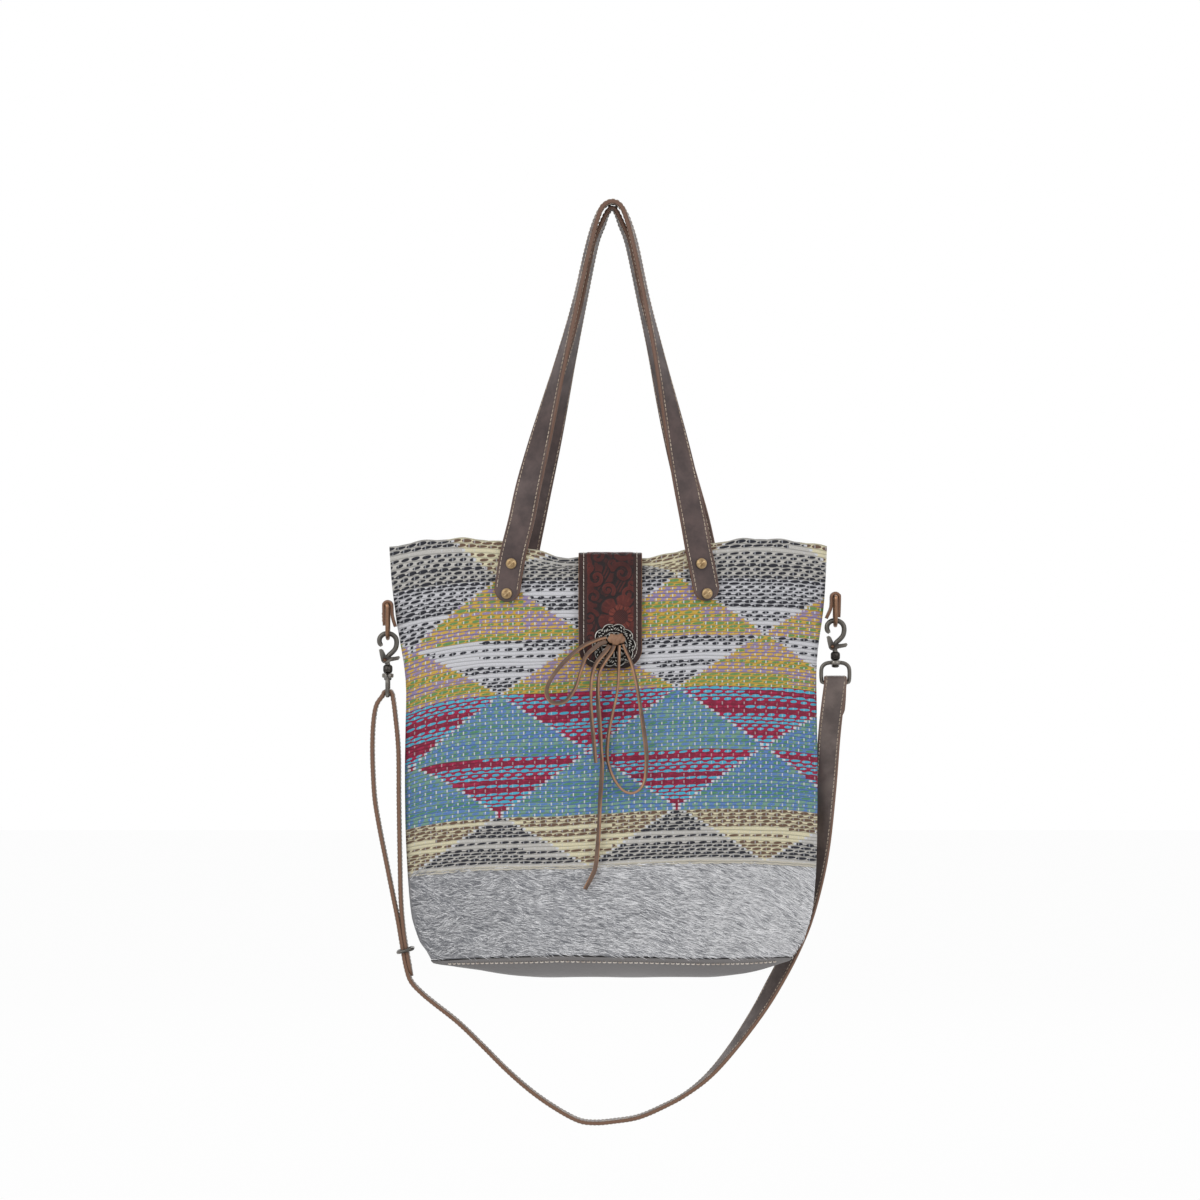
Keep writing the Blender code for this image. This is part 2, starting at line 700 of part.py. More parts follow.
def concho():
    """A lobed, domed ornament with two lace slots, standing on the flap."""
    rim, sides = CONCHO_D / 2.0, CONCHO_LOBES * 6
    back = flap_front_y(CONCHO_Z) - TOUCH_GAP - 0.6
    tilt = 0.08
    vertices, faces = [], []
    rings = ((1.0, 0.0), (1.0, 1.1), (0.86, 1.9), (0.62, 2.2), (0.34, 3.0))
    for share, height in rings:
        for k in range(sides):
            angle = 2.0 * math.pi * k / sides
            lobe = 1.0 + (0.07 * abs(math.cos(CONCHO_LOBES * angle / 2.0)) - 0.05) * share
            radius = rim * share * lobe
            x, z = radius * math.cos(angle), radius * math.sin(angle)
            vertices.append((CONCHO_X + x, back - height + tilt * z, CONCHO_Z + z))
    for i in range(len(rings) - 1):
        for k in range(sides):
            n = (k + 1) % sides
            faces.append((sides * i + k, sides * i + n, sides * i + sides + n, sides * i + sides + k))
    faces.append(tuple(range(sides)))
    faces.append(tuple(sides * (len(rings) - 1) + k for k in range(sides)))
    return add_object("concho", vertices, faces, ["aged_silver"], None, None)


def cord(name, route, diameter, slot):
    """Round cord along a smooth route, as one poly spline with a bevel."""
    points = smooth_path(route, diameter * 2.2)
    data = bpy.data.curves.new(name, "CURVE")
    data.dimensions = "3D"
    data.bevel_depth = diameter * 0.5 * MM
    data.bevel_resolution = 2
    data.use_fill_caps = True
    spline = data.splines.new("POLY")
    spline.points.add(len(points) - 1)
    for item, point in zip(spline.points, points):
        item.co = (*(point * MM), 1.0)
    data.materials.append(material_of(slot))
    made = bpy.data.objects.new(name, data)
    PARTS.objects.link(made)
    return made


def px(x, y):
    """Frame position in millimetres of a place measured on the reference view."""
    return (x - 612.0) * 0.84, (209.0 - y) * 0.84


LACE_ROUTES = {
    "lace_left_loop": (
        (606.2, 637.0, 0), (597, 639.5, 1), (581, 647, 2), (563, 663, 3), (551, 679, 3), (547, 691, 3),
        (551, 700, 3), (558, 702, 4), (567, 699, 5), (576, 686, 6), (581, 670, 7), (586, 656, 6),
        (594, 648, 4), (602, 642, 2), (606.2, 641.1, 0),
    ),
    "lace_right_loop": (
        (619, 644.7, 0), (618.6, 665, 0), (617, 691, 0), (611, 718, -1), (608, 736, -1),
        (607, 754, -1), (610, 768, -1), (617, 782, 0), (626, 790, 2), (635, 790, 4),
        (642, 784, 5), (645, 774, 6), (646, 754, 6), (644, 734, 6), (640, 706, 5),
        (636, 682, 3), (631, 662, 2), (626, 651, 1), (623.2, 643.8, 0),
    ),
    "lace_short_tail": (
        (609.6, 645.0, 0), (605, 651.5, 4), (596, 663, 9), (592, 676, 11), (591, 695, 12), (592, 720, 13),
        (594, 741, 13), (596, 761, 13),
    ),
    "lace_long_tail": (
        (614, 644.8, 0), (611.5, 651, 1), (606, 659, 3), (600, 670, 4), (598, 684, 4), (598, 700, 4), (600, 727, 4),
        (602, 763, 4), (600, 799, 3), (599, 825, 2), (597, 852, 1), (595, 866, 0), (590, 877, 0),
        (585, 886, 0),
    ),
}
LACE_D = 2.6
KNOT_Z = -360.5


def lace_plane_y(z):
    """The plane in which the lace hangs, clear of the concho and of the bag's widest front."""
    front = flap_front_y(CONCHO_Z) - TOUCH_GAP - 3.0 - LACE_D * 0.5 - 2.6
    low = -(depth_at(-480.0) + CLOTH + RIDGE_HEIGHT + 4.5)
    share = smooth_step((KNOT_Z - z) / 90.0)
    return front + (min(low, front) - front) * share


def laces():
    for name, route in LACE_ROUTES.items():
        points = []
        for x, y, ahead in route:
            px_x, px_z = px(x, y)
            points.append((px_x, lace_plane_y(px_z) - ahead * 0.62, px_z))
        cord(name, points, LACE_D, "lace_leather")
    knot_x = px(616, 638)[0]
    knot_y = lace_plane_y(KNOT_Z)
    profile = [(1.6, -7.4), (3.6, -6.0), (4.4, -3.0), (4.5, 0.0), (4.4, 3.0), (3.6, 6.0), (1.6, 7.4)]
    vertices, faces = turned(profile, (0.0, 0.0, 0.0), "Z", 12)
    lay = Matrix.Rotation(math.radians(90.0), 3, "Y")
    vertices = [lay @ Vector(v) for v in vertices]
    placed = [(v.x + knot_x, v.y * 0.75 + knot_y, v.z + px(0, 639)[1]) for v in vertices]
    add_object("lace_knot", placed, faces, ["lace_leather"])


SIDES = {
    "left": {"bar_x": -188.3, "bar_z": -333.0, "top_z": -354.5, "out": -1.0, "eye_yaw": 90.0},
    "right": {"bar_x": 187.6, "bar_z": -326.0, "top_z": -343.6, "out": 1.0, "eye_yaw": 0.0},
}
RING_CONTACT_DROP = HOOK_WIRE + TOUCH_GAP + RING_WIRE / 2.0
EYE_CONTACT_DROP = 54.0
PIN_AT = (-2.4, -24.2)


def clip_point(side, x, z):
    """A place on a clip, from its own axis and top, in frame millimetres."""
    place = SIDES[side]
    return place["bar_x"] + x, place["top_z"] + z


def side_tab(side):
    """A leather tab sewn to the side seam, folded over the ring's bar."""
    place = SIDES[side]
    out = place["out"]
    radius = RING_WIRE / 2.0 + TOUCH_GAP + TAB_PLY / 2.0
    bar_x, bar_z = place["bar_x"], place["bar_z"]
    inner_x = bar_x - out * radius
    end_z = bar_z - TAB_LENGTH
    edge = edges_at(end_z + 9.0)[0 if out < 0 else 1]
    clear = TOUCH_GAP + TAB_PLY / 2.0 + 0.8
    stations = [(edge + out * clear, 0.0, end_z), (inner_x - out * 0.6, 0.0, bar_z - 9.0)]
    for degrees in range(0, 181, 30):
        angle = math.radians(degrees)
        stations.append((bar_x - out * radius * math.cos(angle), 0.0, bar_z + radius * math.sin(angle)))
    stations.append((bar_x + out * (radius - 0.4), 0.0, bar_z - 17.0))
    route = [tuple(p) for p in smooth_path(stations, 2.6)]
    widths = rounded_widths(route, TAB_WIDTH)
    return strap(side + "_side_tab", route, widths, [(0.0, 1.0, 0.0)] * len(route), TAB_PLY, "strap_leather")


def d_ring(side):
    """A D-ring: a straight bar in the tab's fold and a rounded bow below it."""
    place = SIDES[side]
    bottom_z = place["top_z"] - RING_CONTACT_DROP
    height = place["bar_z"] - bottom_z
    half = RING_WIDTH / 2.0 - RING_WIRE / 2.0
    points = [(-half + 2.0, 0.0), (0.0, 0.0), (half - 2.0, 0.0), (half - 0.5, -0.6)]
    for k in range(0, 13):
        angle = math.pi * k / 12.0
        low = height - half if height > half else 0.0
        reach = height - low
        points.append((half * math.cos(angle), -low - reach * math.sin(angle) ** 0.9))
    points.append((-half + 0.5, -0.6))
    loop = [(place["bar_x"], y, place["bar_z"] + z) for y, z in points]
    vertices, faces = tube(loop, RING_WIRE / 2.0, closed=True)
    pivot = (place["bar_x"], 0.0, place["bar_z"])
    return add_object(side + "_ring", vertices, faces, ["aged_copper"], None, pivot)


def snap_hook(side):
    """The hook: bent wire, a flat boss for the trigger's pin, a collar and the swivel's post."""
    wire = HOOK_WIRE / 2.0
    route = [
        (-5.0, -12.6), (-6.9, -9.6), (-6.6, -5.6), (-3.6, -2.7), (0.0, -2.1), (3.6, -2.9),
        (6.6, -5.8), (7.4, -10.0), (6.4, -14.6), (3.6, -18.0), (0.6, -20.8), (-0.6, -24.4),
        (0.0, -28.6),
    ]
    route = [(x, 0.0, z) for x, z in route]
    points = [(*clip_point(side, p[0], p[2]), 0.0) for p in smooth_path(route, 2.8)]
    points = [(x, 0.0, z) for x, z, _ in points]
    vertices, faces = tube(points, wire, sides=10)
    pivot = (*clip_point(side, 0.0, -28.0),)
    hook = add_object(
        side + "_snap_hook", vertices, faces, ["gunmetal"], None, (pivot[0], 0.0, pivot[1])
    )
    x, top = clip_point(side, 0.0, 0.0)
    post = POST_D / 2.0 - 0.4
    collar = [
        (2.2, top - 28.2), (3.2, top - 28.8), (3.9, top - 29.8), (3.9, top - 33.8), (3.2, top - 35.2),
        (post, top - 35.2), (post, top - 39.5), (3.2, top - 39.5), (3.2, top - 40.6), (2.2, top - 41.5),
    ]
    combine(hook, hook.name + "_collar", turned(collar, (x, 0.0, 0.0)), "UNION")
    pin_x, pin_z = clip_point(side, *PIN_AT)
    boss = turned([(3.0, -2.3), (3.0, 2.3)], (pin_x, 0.0, pin_z), "Y", 14)
    combine(hook, hook.name + "_boss", boss, "UNION")
    hole = turned([(1.2, -6.0), (1.2, 6.0)], (pin_x, 0.0, pin_z), "Y", 10)
    combine(hook, hook.name + "_pin_hole", hole, "DIFFERENCE")
    return hook


def trigger(side):
    """The spring trigger: a folded plate round the boss, closing on the hook's tip."""
    half = 2.3 + TOUCH_GAP + 1.1
    outline = [
        (-7.4, -15.6), (-5.6, -14.9), (-3.9, -15.8), (-1.6, -20.6), (1.4, -21.9), (5.6, -21.6),
        (9.4, -20.9), (10.2, -22.4), (8.8, -24.3), (3.0, -25.4), (0.2, -26.5), (-3.0, -26.8),
        (-5.3, -25.4), (-6.4, -20.8),
    ]
    outline = [clip_point(side, x, z) for x, z in outline]
    pin_x, pin_z = clip_point(side, *PIN_AT)
    vertices, faces = plate(outline, -half, half)
    item = add_object(
        side + "_trigger", vertices, faces, ["gunmetal"], None, (pin_x, 0.0, pin_z)
    )
    slot_half = 2.3 + TOUCH_GAP
    x0, z0 = clip_point(side, -3.3, -40.0)
    x1, z1 = clip_point(side, 30.0, -10.0)
    slot = block((min(x0, x1), -slot_half, min(z0, z1)), (max(x0, x1), slot_half, max(z0, z1)))
    combine(item, item.name + "_slot", slot, "DIFFERENCE")
    x0, z0 = clip_point(side, -9.0, -40.0)
    x1, z1 = clip_point(side, -3.0, -19.8)
    low = block((min(x0, x1), -slot_half, min(z0, z1)), (max(x0, x1), slot_half, max(z0, z1)))
    combine(item, item.name + "_lower_slot", low, "DIFFERENCE")
    hole = turned([(1.2, -6.0), (1.2, 6.0)], (pin_x, 0.0, pin_z), "Y", 10)
    combine(item, item.name + "_pin_hole", hole, "DIFFERENCE")
    head = half + TOUCH_GAP
    profile = [(1.5, -head - 0.7), (1.7, -head), (0.9, -head), (0.9, head), (1.7, head), (1.5, head + 0.7)]
    vertices, faces = turned(profile, (pin_x, 0.0, pin_z), "Y", 10)
    add_object(side + "_trigger_pin", vertices, faces, ["aged_copper"])
    return item


def swivel_eye(side):
    """The strap's eye: a wire bow on a drilled boss that turns on the hook's post."""
    place = SIDES[side]
    x, top = clip_point(side, 0.0, 0.0)
    turn = Matrix.Rotation(math.radians(place["eye_yaw"]), 3, "Z")
    half = EYE_WIDTH / 2.0 - EYE_WIRE / 2.0
    route = [
        (0.0, -37.4), (-5.0, -37.5), (-9.0, -38.8), (-half, -42.6), (-half, -51.6), (-9.9, -54.0),
        (0.0, -EYE_CONTACT_DROP), (9.9, -54.0), (half, -51.6),
        (half, -42.6), (9.0, -38.8), (5.0, -37.5),
    ]
    loop = [turn @ Vector((a, 0.0, b)) + Vector((x, 0.0, top)) for a, b in route]
    vertices, faces = tube(loop, EYE_WIRE / 2.0, closed=True)
    eye = add_object(side + "_swivel_eye", vertices, faces, ["gunmetal"])
    boss = turned([(4.4, top - 39.2), (4.9, top - 38.4), (4.9, top - 36.2), (4.2, top - 35.5)], (x, 0.0, 0.0))
    combine(eye, eye.name + "_boss", boss, "UNION")
    bore = turned([(POST_D / 2.0, top - 45.0), (POST_D / 2.0, top - 30.0)], (x, 0.0, 0.0), "Z", 14)
    combine(eye, eye.name + "_bore", bore, "DIFFERENCE")
    return eye


def strap_route():
    """The shoulder strap's centre line from its end at the slide to its end at the right eye.

    Each station holds x, y, z and the turn of the strap's width from front-to-back towards X.
    """
    left_x, left_top = clip_point("left", 0.0, 0.0)
    right_x, right_top = clip_point("right", 0.0, 0.0)
    bend = EYE_WIRE / 2.0 + TOUCH_GAP + STRAP_PLY / 2.0 + 0.5
    left_z = left_top - EYE_CONTACT_DROP
    right_z = right_top - EYE_CONTACT_DROP
    stations = []
    inner = ((411.5, 976), (407.5, 955), (403.5, 930), (401, 900), (400, 860), (399, 800), (398.5, 750))
    for x, y in inner:
        stations.append((*px(x, y), 0.0))
    stations.append((left_x + bend + 2.2, left_z - 16.0, 0.0))
    stations = [(x, 0.0, z, 0.0) for x, z, _ in stations]
    for degrees in (0, 45, 90, 135, 180):
        angle = math.radians(degrees)
        stations.append((left_x + bend * math.cos(angle), 0.0, left_z + bend * math.sin(angle), 0.0))
    outer = (
        (376.5, 705), (373.5, 722), (372.5, 745), (373, 770), (375, 800), (380, 830), (386, 860),
        (392, 890), (398, 920), (402.2, 945), (406, 966), (411, 981), (422, 993), (434, 1003), (458, 1022), (482, 1045),
        (506, 1069), (530, 1090), (554, 1107), (578, 1120), (595, 1122.5), (614, 1121), (638, 1117), (662, 1107),
        (686, 1094),
    )
    stations += [(px(x, y)[0], 0.0, px(x, y)[1], 0.0) for x, y in outer]
    right = (
        (710, 1075, 4, 10), (734, 1047, 8, 20), (758, 1013, 12, 33), (774, 986, 15, 42),
        (789, 958, 18, 45), (803, 925, 20, 48), (814, 885, 19, 52), (821, 845, 16, 58),
        (826, 790, 11, 66), (829, 740, 6, 78), (832, 708, 3, 88),
    )
    stations += [(px(x, y)[0], ahead, px(x, y)[1], turn) for x, y, ahead, turn in right]
    for degrees in (0, 45, 90, 135, 180):
        angle = math.radians(degrees)
        y = -bend * math.cos(angle)
        stations.append((right_x, y, right_z + bend * math.sin(angle), 90.0))
    stations.append((right_x - 0.6, bend + 0.6, right_z - 16.0, 89.0))
    stations.append((right_x - 2.2, bend + 3.4, right_z - 31.0, 84.0))
    return stations


def shoulder_strap():
    stations = strap_route()
    lead = stations[:-7]
    shift = []
    for x, y, z, turn in lead:
        share = smooth_step((turn - 60.0) / 28.0)
        shift.append((x, y - share * 6.6, z, turn))
    route = smooth_path(shift + stations[-7:], 1.9)
    thinned = [route[0]]
    heading = Vector(route[1][:3]) - Vector(route[0][:3])
    for before, point, after in zip(route, route[1:], route[2:]):
        ahead = Vector(after[:3]) - Vector(point[:3])
        far = (Vector(point[:3]) - Vector(thinned[-1][:3])).length
        if heading.angle(ahead) > math.radians(8.0) or far > 22.0:
            thinned.append(point)
            heading = ahead
    thinned.append(route[-1])
    path = [tuple(p[:3]) for p in thinned]
    across = [(math.sin(math.radians(p[3])), -math.cos(math.radians(p[3])), 0.0) for p in thinned]
    widths = rounded_widths(path, STRAP_WIDTH)
    return strap("shoulder_strap", path, widths, across, STRAP_PLY, "strap_leather")


def strap_slide():
    """The metal slide: a rectangular keeper round both plies above the strap's sewn end."""
    x, z = px(405.6, 950)
    lean = math.radians(-14.0)
    half_x, half_y, wire = 6.2, STRAP_WIDTH / 2.0 + 2.2, 1.5
    corners = [(-half_x, -half_y), (half_x, -half_y), (half_x, half_y), (-half_x, half_y)]
    points = []
    for i, (cx, cy) in enumerate(corners):
        nx, ny = corners[(i + 1) % 4]
        for t in (0.12, 0.5, 0.88):
            a, y = cx + (nx - cx) * t, cy + (ny - cy) * t
            points.append((x + a * math.cos(lean) * 1.0, y, z + a * math.sin(lean) * -1.0))
    vertices, faces = tube(points, wire, closed=True)
    return add_object("strap_slide", vertices, faces, ["gunmetal"])


def main():
    front = woven_panel("front_panel", -1.0)
    back = woven_panel("back_panel", 1.0)
    hide_band("front_hide_band", -1.0)
    hide_band("back_hide_band", 1.0)
    base_panel()
    lining()
    front_handle = make_handle("front_handle", FRONT_LEFT, FRONT_RIGHT, 5.7, -1.0)
    back_handle = make_handle("back_handle", BACK_LEFT, BACK_RIGHT, 1.8, 1.0)
    for label, side, handle, panel, legs in (
        ("front_left", -1.0, front_handle, front, FRONT_LEFT),
        ("front_right", -1.0, front_handle, front, FRONT_RIGHT),
        ("back_left", 1.0, back_handle, back, BACK_LEFT),
        ("back_right", 1.0, back_handle, back, BACK_RIGHT),
    ):
        for word, z in zip(("upper", "lower"), RIVET_LEVELS):
            rivet(label + "_" + word + "_rivet", handle_centre(legs, z), z, side, handle, panel)
    closure_flap()
    concho()
    laces()
    for side in SIDES:
        side_tab(side)
        d_ring(side)
        snap_hook(side)
        trigger(side)
        swivel_eye(side)
    shoulder_strap()
    strap_slide()


clear_scene()
PARTS, CUTTERS = make_collections()
main()
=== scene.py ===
# %% [markdown]
# # A woven tote bag
# The bag hangs from its two leather handles. Its body is a cotton weave with a triangle lattice, over a
# band and base of hair-on hide. A tooled flap is tied with a leather lace, and a long strap clips to
# two D-rings. The CAD pieces come from the frame, and this script adds the soft and detailed ones.

import math

import bmesh
import bpy
import numpy as np
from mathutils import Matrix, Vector


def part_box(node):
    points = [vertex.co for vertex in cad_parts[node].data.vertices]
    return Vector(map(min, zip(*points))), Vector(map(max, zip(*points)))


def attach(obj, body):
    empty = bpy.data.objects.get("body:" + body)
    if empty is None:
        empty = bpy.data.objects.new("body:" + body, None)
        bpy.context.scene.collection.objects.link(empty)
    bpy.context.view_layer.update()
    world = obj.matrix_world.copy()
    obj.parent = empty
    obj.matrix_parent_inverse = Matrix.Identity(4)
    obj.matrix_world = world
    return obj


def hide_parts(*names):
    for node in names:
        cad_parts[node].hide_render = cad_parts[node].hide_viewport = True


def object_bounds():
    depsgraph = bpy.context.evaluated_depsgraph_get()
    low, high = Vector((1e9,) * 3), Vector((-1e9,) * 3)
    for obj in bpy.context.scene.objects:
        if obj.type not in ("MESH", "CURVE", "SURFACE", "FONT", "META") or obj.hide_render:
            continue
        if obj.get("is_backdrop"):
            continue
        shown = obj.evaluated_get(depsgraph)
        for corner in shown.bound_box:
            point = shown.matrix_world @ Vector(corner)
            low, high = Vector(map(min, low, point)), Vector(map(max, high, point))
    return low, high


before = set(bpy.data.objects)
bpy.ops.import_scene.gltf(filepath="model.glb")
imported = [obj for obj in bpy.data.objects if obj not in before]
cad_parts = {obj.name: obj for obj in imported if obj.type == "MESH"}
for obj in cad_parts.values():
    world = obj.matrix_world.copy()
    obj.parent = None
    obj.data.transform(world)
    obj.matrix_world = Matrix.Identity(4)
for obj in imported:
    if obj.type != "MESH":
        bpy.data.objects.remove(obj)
cad_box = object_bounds()
MM = 0.001
rng = np.random.default_rng(7)

# %% [markdown]
# ## Node trees
# The floor, the background and the materials are node trees. Each call of this small class makes one node
# and gives back its output, so a tree reads like the sum that it works out.

# %% Node helpers
class Nodes:
    """A short way to write a node tree: every call makes one node and returns one of its outputs."""

    def __init__(self, tree):
        self.tree = tree

    def add(self, kind, inputs=None, output=0, **settings):
        node = self.tree.nodes.new("ShaderNode" + kind)
        for key, value in settings.items():
            setattr(node, key, value)
        for key, value in (inputs or {}).items():
            socket = node.inputs[key]
            if hasattr(value, "is_output"):
                self.tree.links.new(value, socket)
            else:
                socket.default_value = value
        return node.outputs[output]

    def math(self, operation, a, b=0.0, c=0.0):
        return self.add("Math", {0: a, 1: b, 2: c}, operation=operation)

    def plus(self, a, b):
        return self.math("ADD", a, b)

    def minus(self, a, b):
        return self.math("SUBTRACT", a, b)

    def times(self, a, b):
        return self.math("MULTIPLY", a, b)

    def over(self, a, b):
        return self.math("DIVIDE", a, b)

    def above(self, a, b):
        return self.math("GREATER_THAN", a, b)

    def absolute(self, a):
        return self.math("ABSOLUTE", a)

    def mix(self, share, a, b, blend="MIX"):
        a = (*a, 1.0) if isinstance(a, tuple) and len(a) == 3 else a
        b = (*b, 1.0) if isinstance(b, tuple) and len(b) == 3 else b
        return self.add("Mix", {0: share, 6: a, 7: b}, 2, data_type="RGBA", blend_type=blend)

    def ramp(self, value, stops, mode="LINEAR"):
        node = self.tree.nodes.new("ShaderNodeValToRGB")
        node.color_ramp.interpolation = mode
        while len(node.color_ramp.elements) < len(stops):
            node.color_ramp.elements.new(1.0)
        for element, (place, colour) in zip(node.color_ramp.elements, stops):
            element.position = place
            element.color = (*colour, 1.0) if len(colour) == 3 else (colour[0],) * 3 + (1.0,)
        self.tree.links.new(value, node.inputs[0])
        return node.outputs[0]

    def noise(self, vector, scale, detail, rough=0.55):
        return self.add("TexNoise", {"Vector": vector, "Scale": scale, "Detail": detail, "Roughness": rough})

    def step(self, value, low, high, to_low=0.0, to_high=1.0):
        inputs = {0: value, 1: low, 2: high, 3: to_low, 4: to_high}
        return self.add("MapRange", inputs, interpolation_type="SMOOTHSTEP")

    def attribute(self, name):
        return self.add("Attribute", None, 2, attribute_name=name)

    def vector(self, x, y=0.0, z=0.0):
        return self.add("CombineXYZ", {0: x, 1: y, 2: z})

    def luck(self, vector):
        return self.add("TexWhiteNoise", {"Vector": vector}, 0)

    def object_place(self):
        return self.add("TexCoord", None, 3)

    def uv_part(self, part):
        return self.add("SeparateXYZ", {0: self.add("UVMap")}, part)


print("node helpers ready")

# %% [markdown]
# ## Camera and light
# The photograph looks straight at the bag from far away, so a long lens stands level with its middle.
# Large soft lamps at both sides give the even light of a product photograph, and the white background
# comes from the colour that camera and mirror rays see, not from more light.

# %% Camera, lamps, floor and world
PHOTO_PX, PHOTO_MM_PER_PX, HOOK_PX = 1200, 0.84, (612.0, 209.0)
CAMERA_DISTANCE, SENSOR_MM = 5.0, 36.0
FLOOR_Z, FLOOR_SHARE = -0.87, 0.05
LAMPS = (
    ("key", (-1.7, -2.4, 0.9), (0, 0, -0.35), (1.6, 1.6), 22),
    ("fill", (1.9, -2.2, 0.3), (0, 0, -0.4), (1.6, 1.6), 13),
    ("back", (0.4, 2.4, 1.1), (0, 0, -0.3), (1.8, 1.2), 16),
)
scene = bpy.context.scene


def from_photo(x, y):
    """Frame x and z, in millimetres, of a place measured on the photograph."""
    return (x - HOOK_PX[0]) * PHOTO_MM_PER_PX, (HOOK_PX[1] - y) * PHOTO_MM_PER_PX


def add_camera():
    """A level long lens, far away, that sees just the square of the photograph."""
    x, z = from_photo(PHOTO_PX / 2, PHOTO_PX / 2)
    bpy.ops.object.camera_add(location=(x * MM, -CAMERA_DISTANCE, z * MM), rotation=(math.pi / 2, 0, 0))
    camera = bpy.context.object
    camera.data.sensor_width = SENSOR_MM
    camera.data.lens = SENSOR_MM * CAMERA_DISTANCE / (PHOTO_PX * PHOTO_MM_PER_PX * MM)
    scene.camera = camera


def add_lamp(name, place, aim, size, watts):
    bpy.ops.object.light_add(type="AREA", location=place)
    lamp = bpy.context.object
    lamp.name = name
    lamp.data.shape = "RECTANGLE"
    lamp.data.size, lamp.data.size_y = size
    lamp.data.energy = watts
    lamp.rotation_euler = (Vector(aim) - Vector(place)).to_track_quat("-Z", "Y").to_euler()


def seen_white(tree, shader, kept):
    """Mix a shader with plain white for the rays that see the background, keeping a share of it."""
    n = Nodes(tree)
    rays = tree.nodes.new("ShaderNodeLightPath").outputs
    mirror = n.math("MAXIMUM", rays["Is Glossy Ray"], rays["Is Transmission Ray"])
    share = n.times(n.math("MAXIMUM", rays["Is Camera Ray"], mirror), 1.0 - kept)
    white = n.add("Emission" if kept else "Background", {0: (1.0, 1.0, 1.0, 1.0)})
    return n.add("MixShader", {0: share, 1: shader, 2: white})


def add_floor():
    bpy.ops.mesh.primitive_plane_add(size=14.0, location=(0, 2.0, FLOOR_Z))
    floor = bpy.context.object
    floor.name = "floor"
    material = bpy.data.materials.new("floor_paper")
    material.use_nodes = True
    shader = material.node_tree.nodes["Principled BSDF"]
    shader.inputs["Base Color"].default_value = (0.86, 0.86, 0.86, 1)
    shader.inputs["Roughness"].default_value = 0.9
    output = material.node_tree.nodes["Material Output"]
    mixed = seen_white(material.node_tree, shader.outputs[0], FLOOR_SHARE)
    material.node_tree.links.new(mixed, output.inputs["Surface"])
    floor.data.materials.append(material)
    floor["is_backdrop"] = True


def set_world():
    world = bpy.data.worlds.new("studio")
    scene.world = world
    world.use_nodes = True
    ground = world.node_tree.nodes["Background"]
    ground.inputs[0].default_value = (1.0, 1.0, 1.0, 1)
    ground.inputs[1].default_value = 0.62
    output = world.node_tree.nodes["World Output"]
    world.node_tree.links.new(seen_white(world.node_tree, ground.outputs[0], 0), output.inputs[0])


add_camera()
for lamp in LAMPS:
    add_lamp(*lamp)
add_floor()
set_world()
scene.view_settings.view_transform = "Standard"
print("camera lens:", round(scene.camera.data.lens, 1), "mm")

# %% [markdown]
# ## The bag's own shape
# The same outline, depth and weft rows as the CAD: a lens-shaped section that is slim at the mouth and
# deep at the base. Each soft piece below asks these functions where the cloth is.

# %% Shape functions
OUTLINE_Z = (-281.0, -330.0, -378.0, -420.0, -455.0, -510.0, -556.0, -590.0, -612.0, -627.0)
LEFT_X = (-187.0, -181.5, -173.5, -173.5, -174.0, -173.5, -171.5, -168.0, -161.5, -152.0)
RIGHT_X = (180.5, 178.0, 172.2, 172.0, 172.5, 172.5, 171.5, 168.0, 161.0, 151.5)
MOUTH_Z, LATTICE_TOP_Z, BASE_SEAM_Z = -281.0, -308.5, -627.0
BAND_HEIGHTS = (49.5, 47.5, 51.0, 52.5, 45.5)
MOUTH_DIP, MOUTH_DEPTH, BODY_DEPTH, BASE_DEPTH = 12.5, 30.0, 48.0, 50.0
CLOTH, SEAM_GAP = 2.4, 0.02
HALF_BASE, APEX_X = 73.9, -94.0
MOUTH_ARCH, CORNER_DROP, MOUTH_CENTRE_X = 4.2, 3.6, -3.0
DIP_HALF, ARCH_FROM, ARCH_RUN = 92.0, 84.0, 100.0
HANDLE_TIP = -330.0
FACES = {"front": -1.0, "back": 1.0}


def ease(x):
    t = np.clip(x, 0.0, 1.0)
    return t * t * (3.0 - 2.0 * t)


def station(z, values):
    """A value of the outline at height z, eased between its stations."""
    levels, values = np.array(OUTLINE_Z), np.array(values)
    z = np.clip(np.asarray(z, float), levels[-1], levels[0])
    i = np.clip(np.searchsorted(-levels, -z, side="right") - 1, 0, len(levels) - 2)
    t = (levels[i] - z) / (levels[i] - levels[i + 1])
    a, b = values[i], values[i + 1]
    before, after = values[np.maximum(i - 1, 0)], values[np.minimum(i + 2, len(values) - 1)]
    rise, fall = (b - before) / 2.0, (after - a) / 2.0
    return (
        a * (2 * t**3 - 3 * t**2 + 1)
        + rise * (t**3 - 2 * t**2 + t)
        + b * (3 * t**2 - 2 * t**3)
        + fall * (t**3 - t**2)
    )


def edges_at(z):
    return station(z, LEFT_X), station(z, RIGHT_X)


def x_at(z, share):
    """x at height z and a share from -1 to 1 across the bag."""
    left, right = edges_at(z)
    return (left + right) / 2.0 + share * (right - left) / 2.0


def depth_at(z):
    down = (MOUTH_Z - z) / (MOUTH_Z - BASE_SEAM_Z)
    upper = MOUTH_DEPTH + (BODY_DEPTH - MOUTH_DEPTH) * ease(down / 0.6)
    return upper + (BASE_DEPTH - BODY_DEPTH) * ease((down - 0.6) / 0.4)


def across_share(x, z):
    left, right = edges_at(z)
    return (2.0 * x - left - right) / (right - left)


def section_y(x, z):
    u = across_share(x, z)
    return depth_at(z) * np.maximum(1.0 - u * u, 0.0)


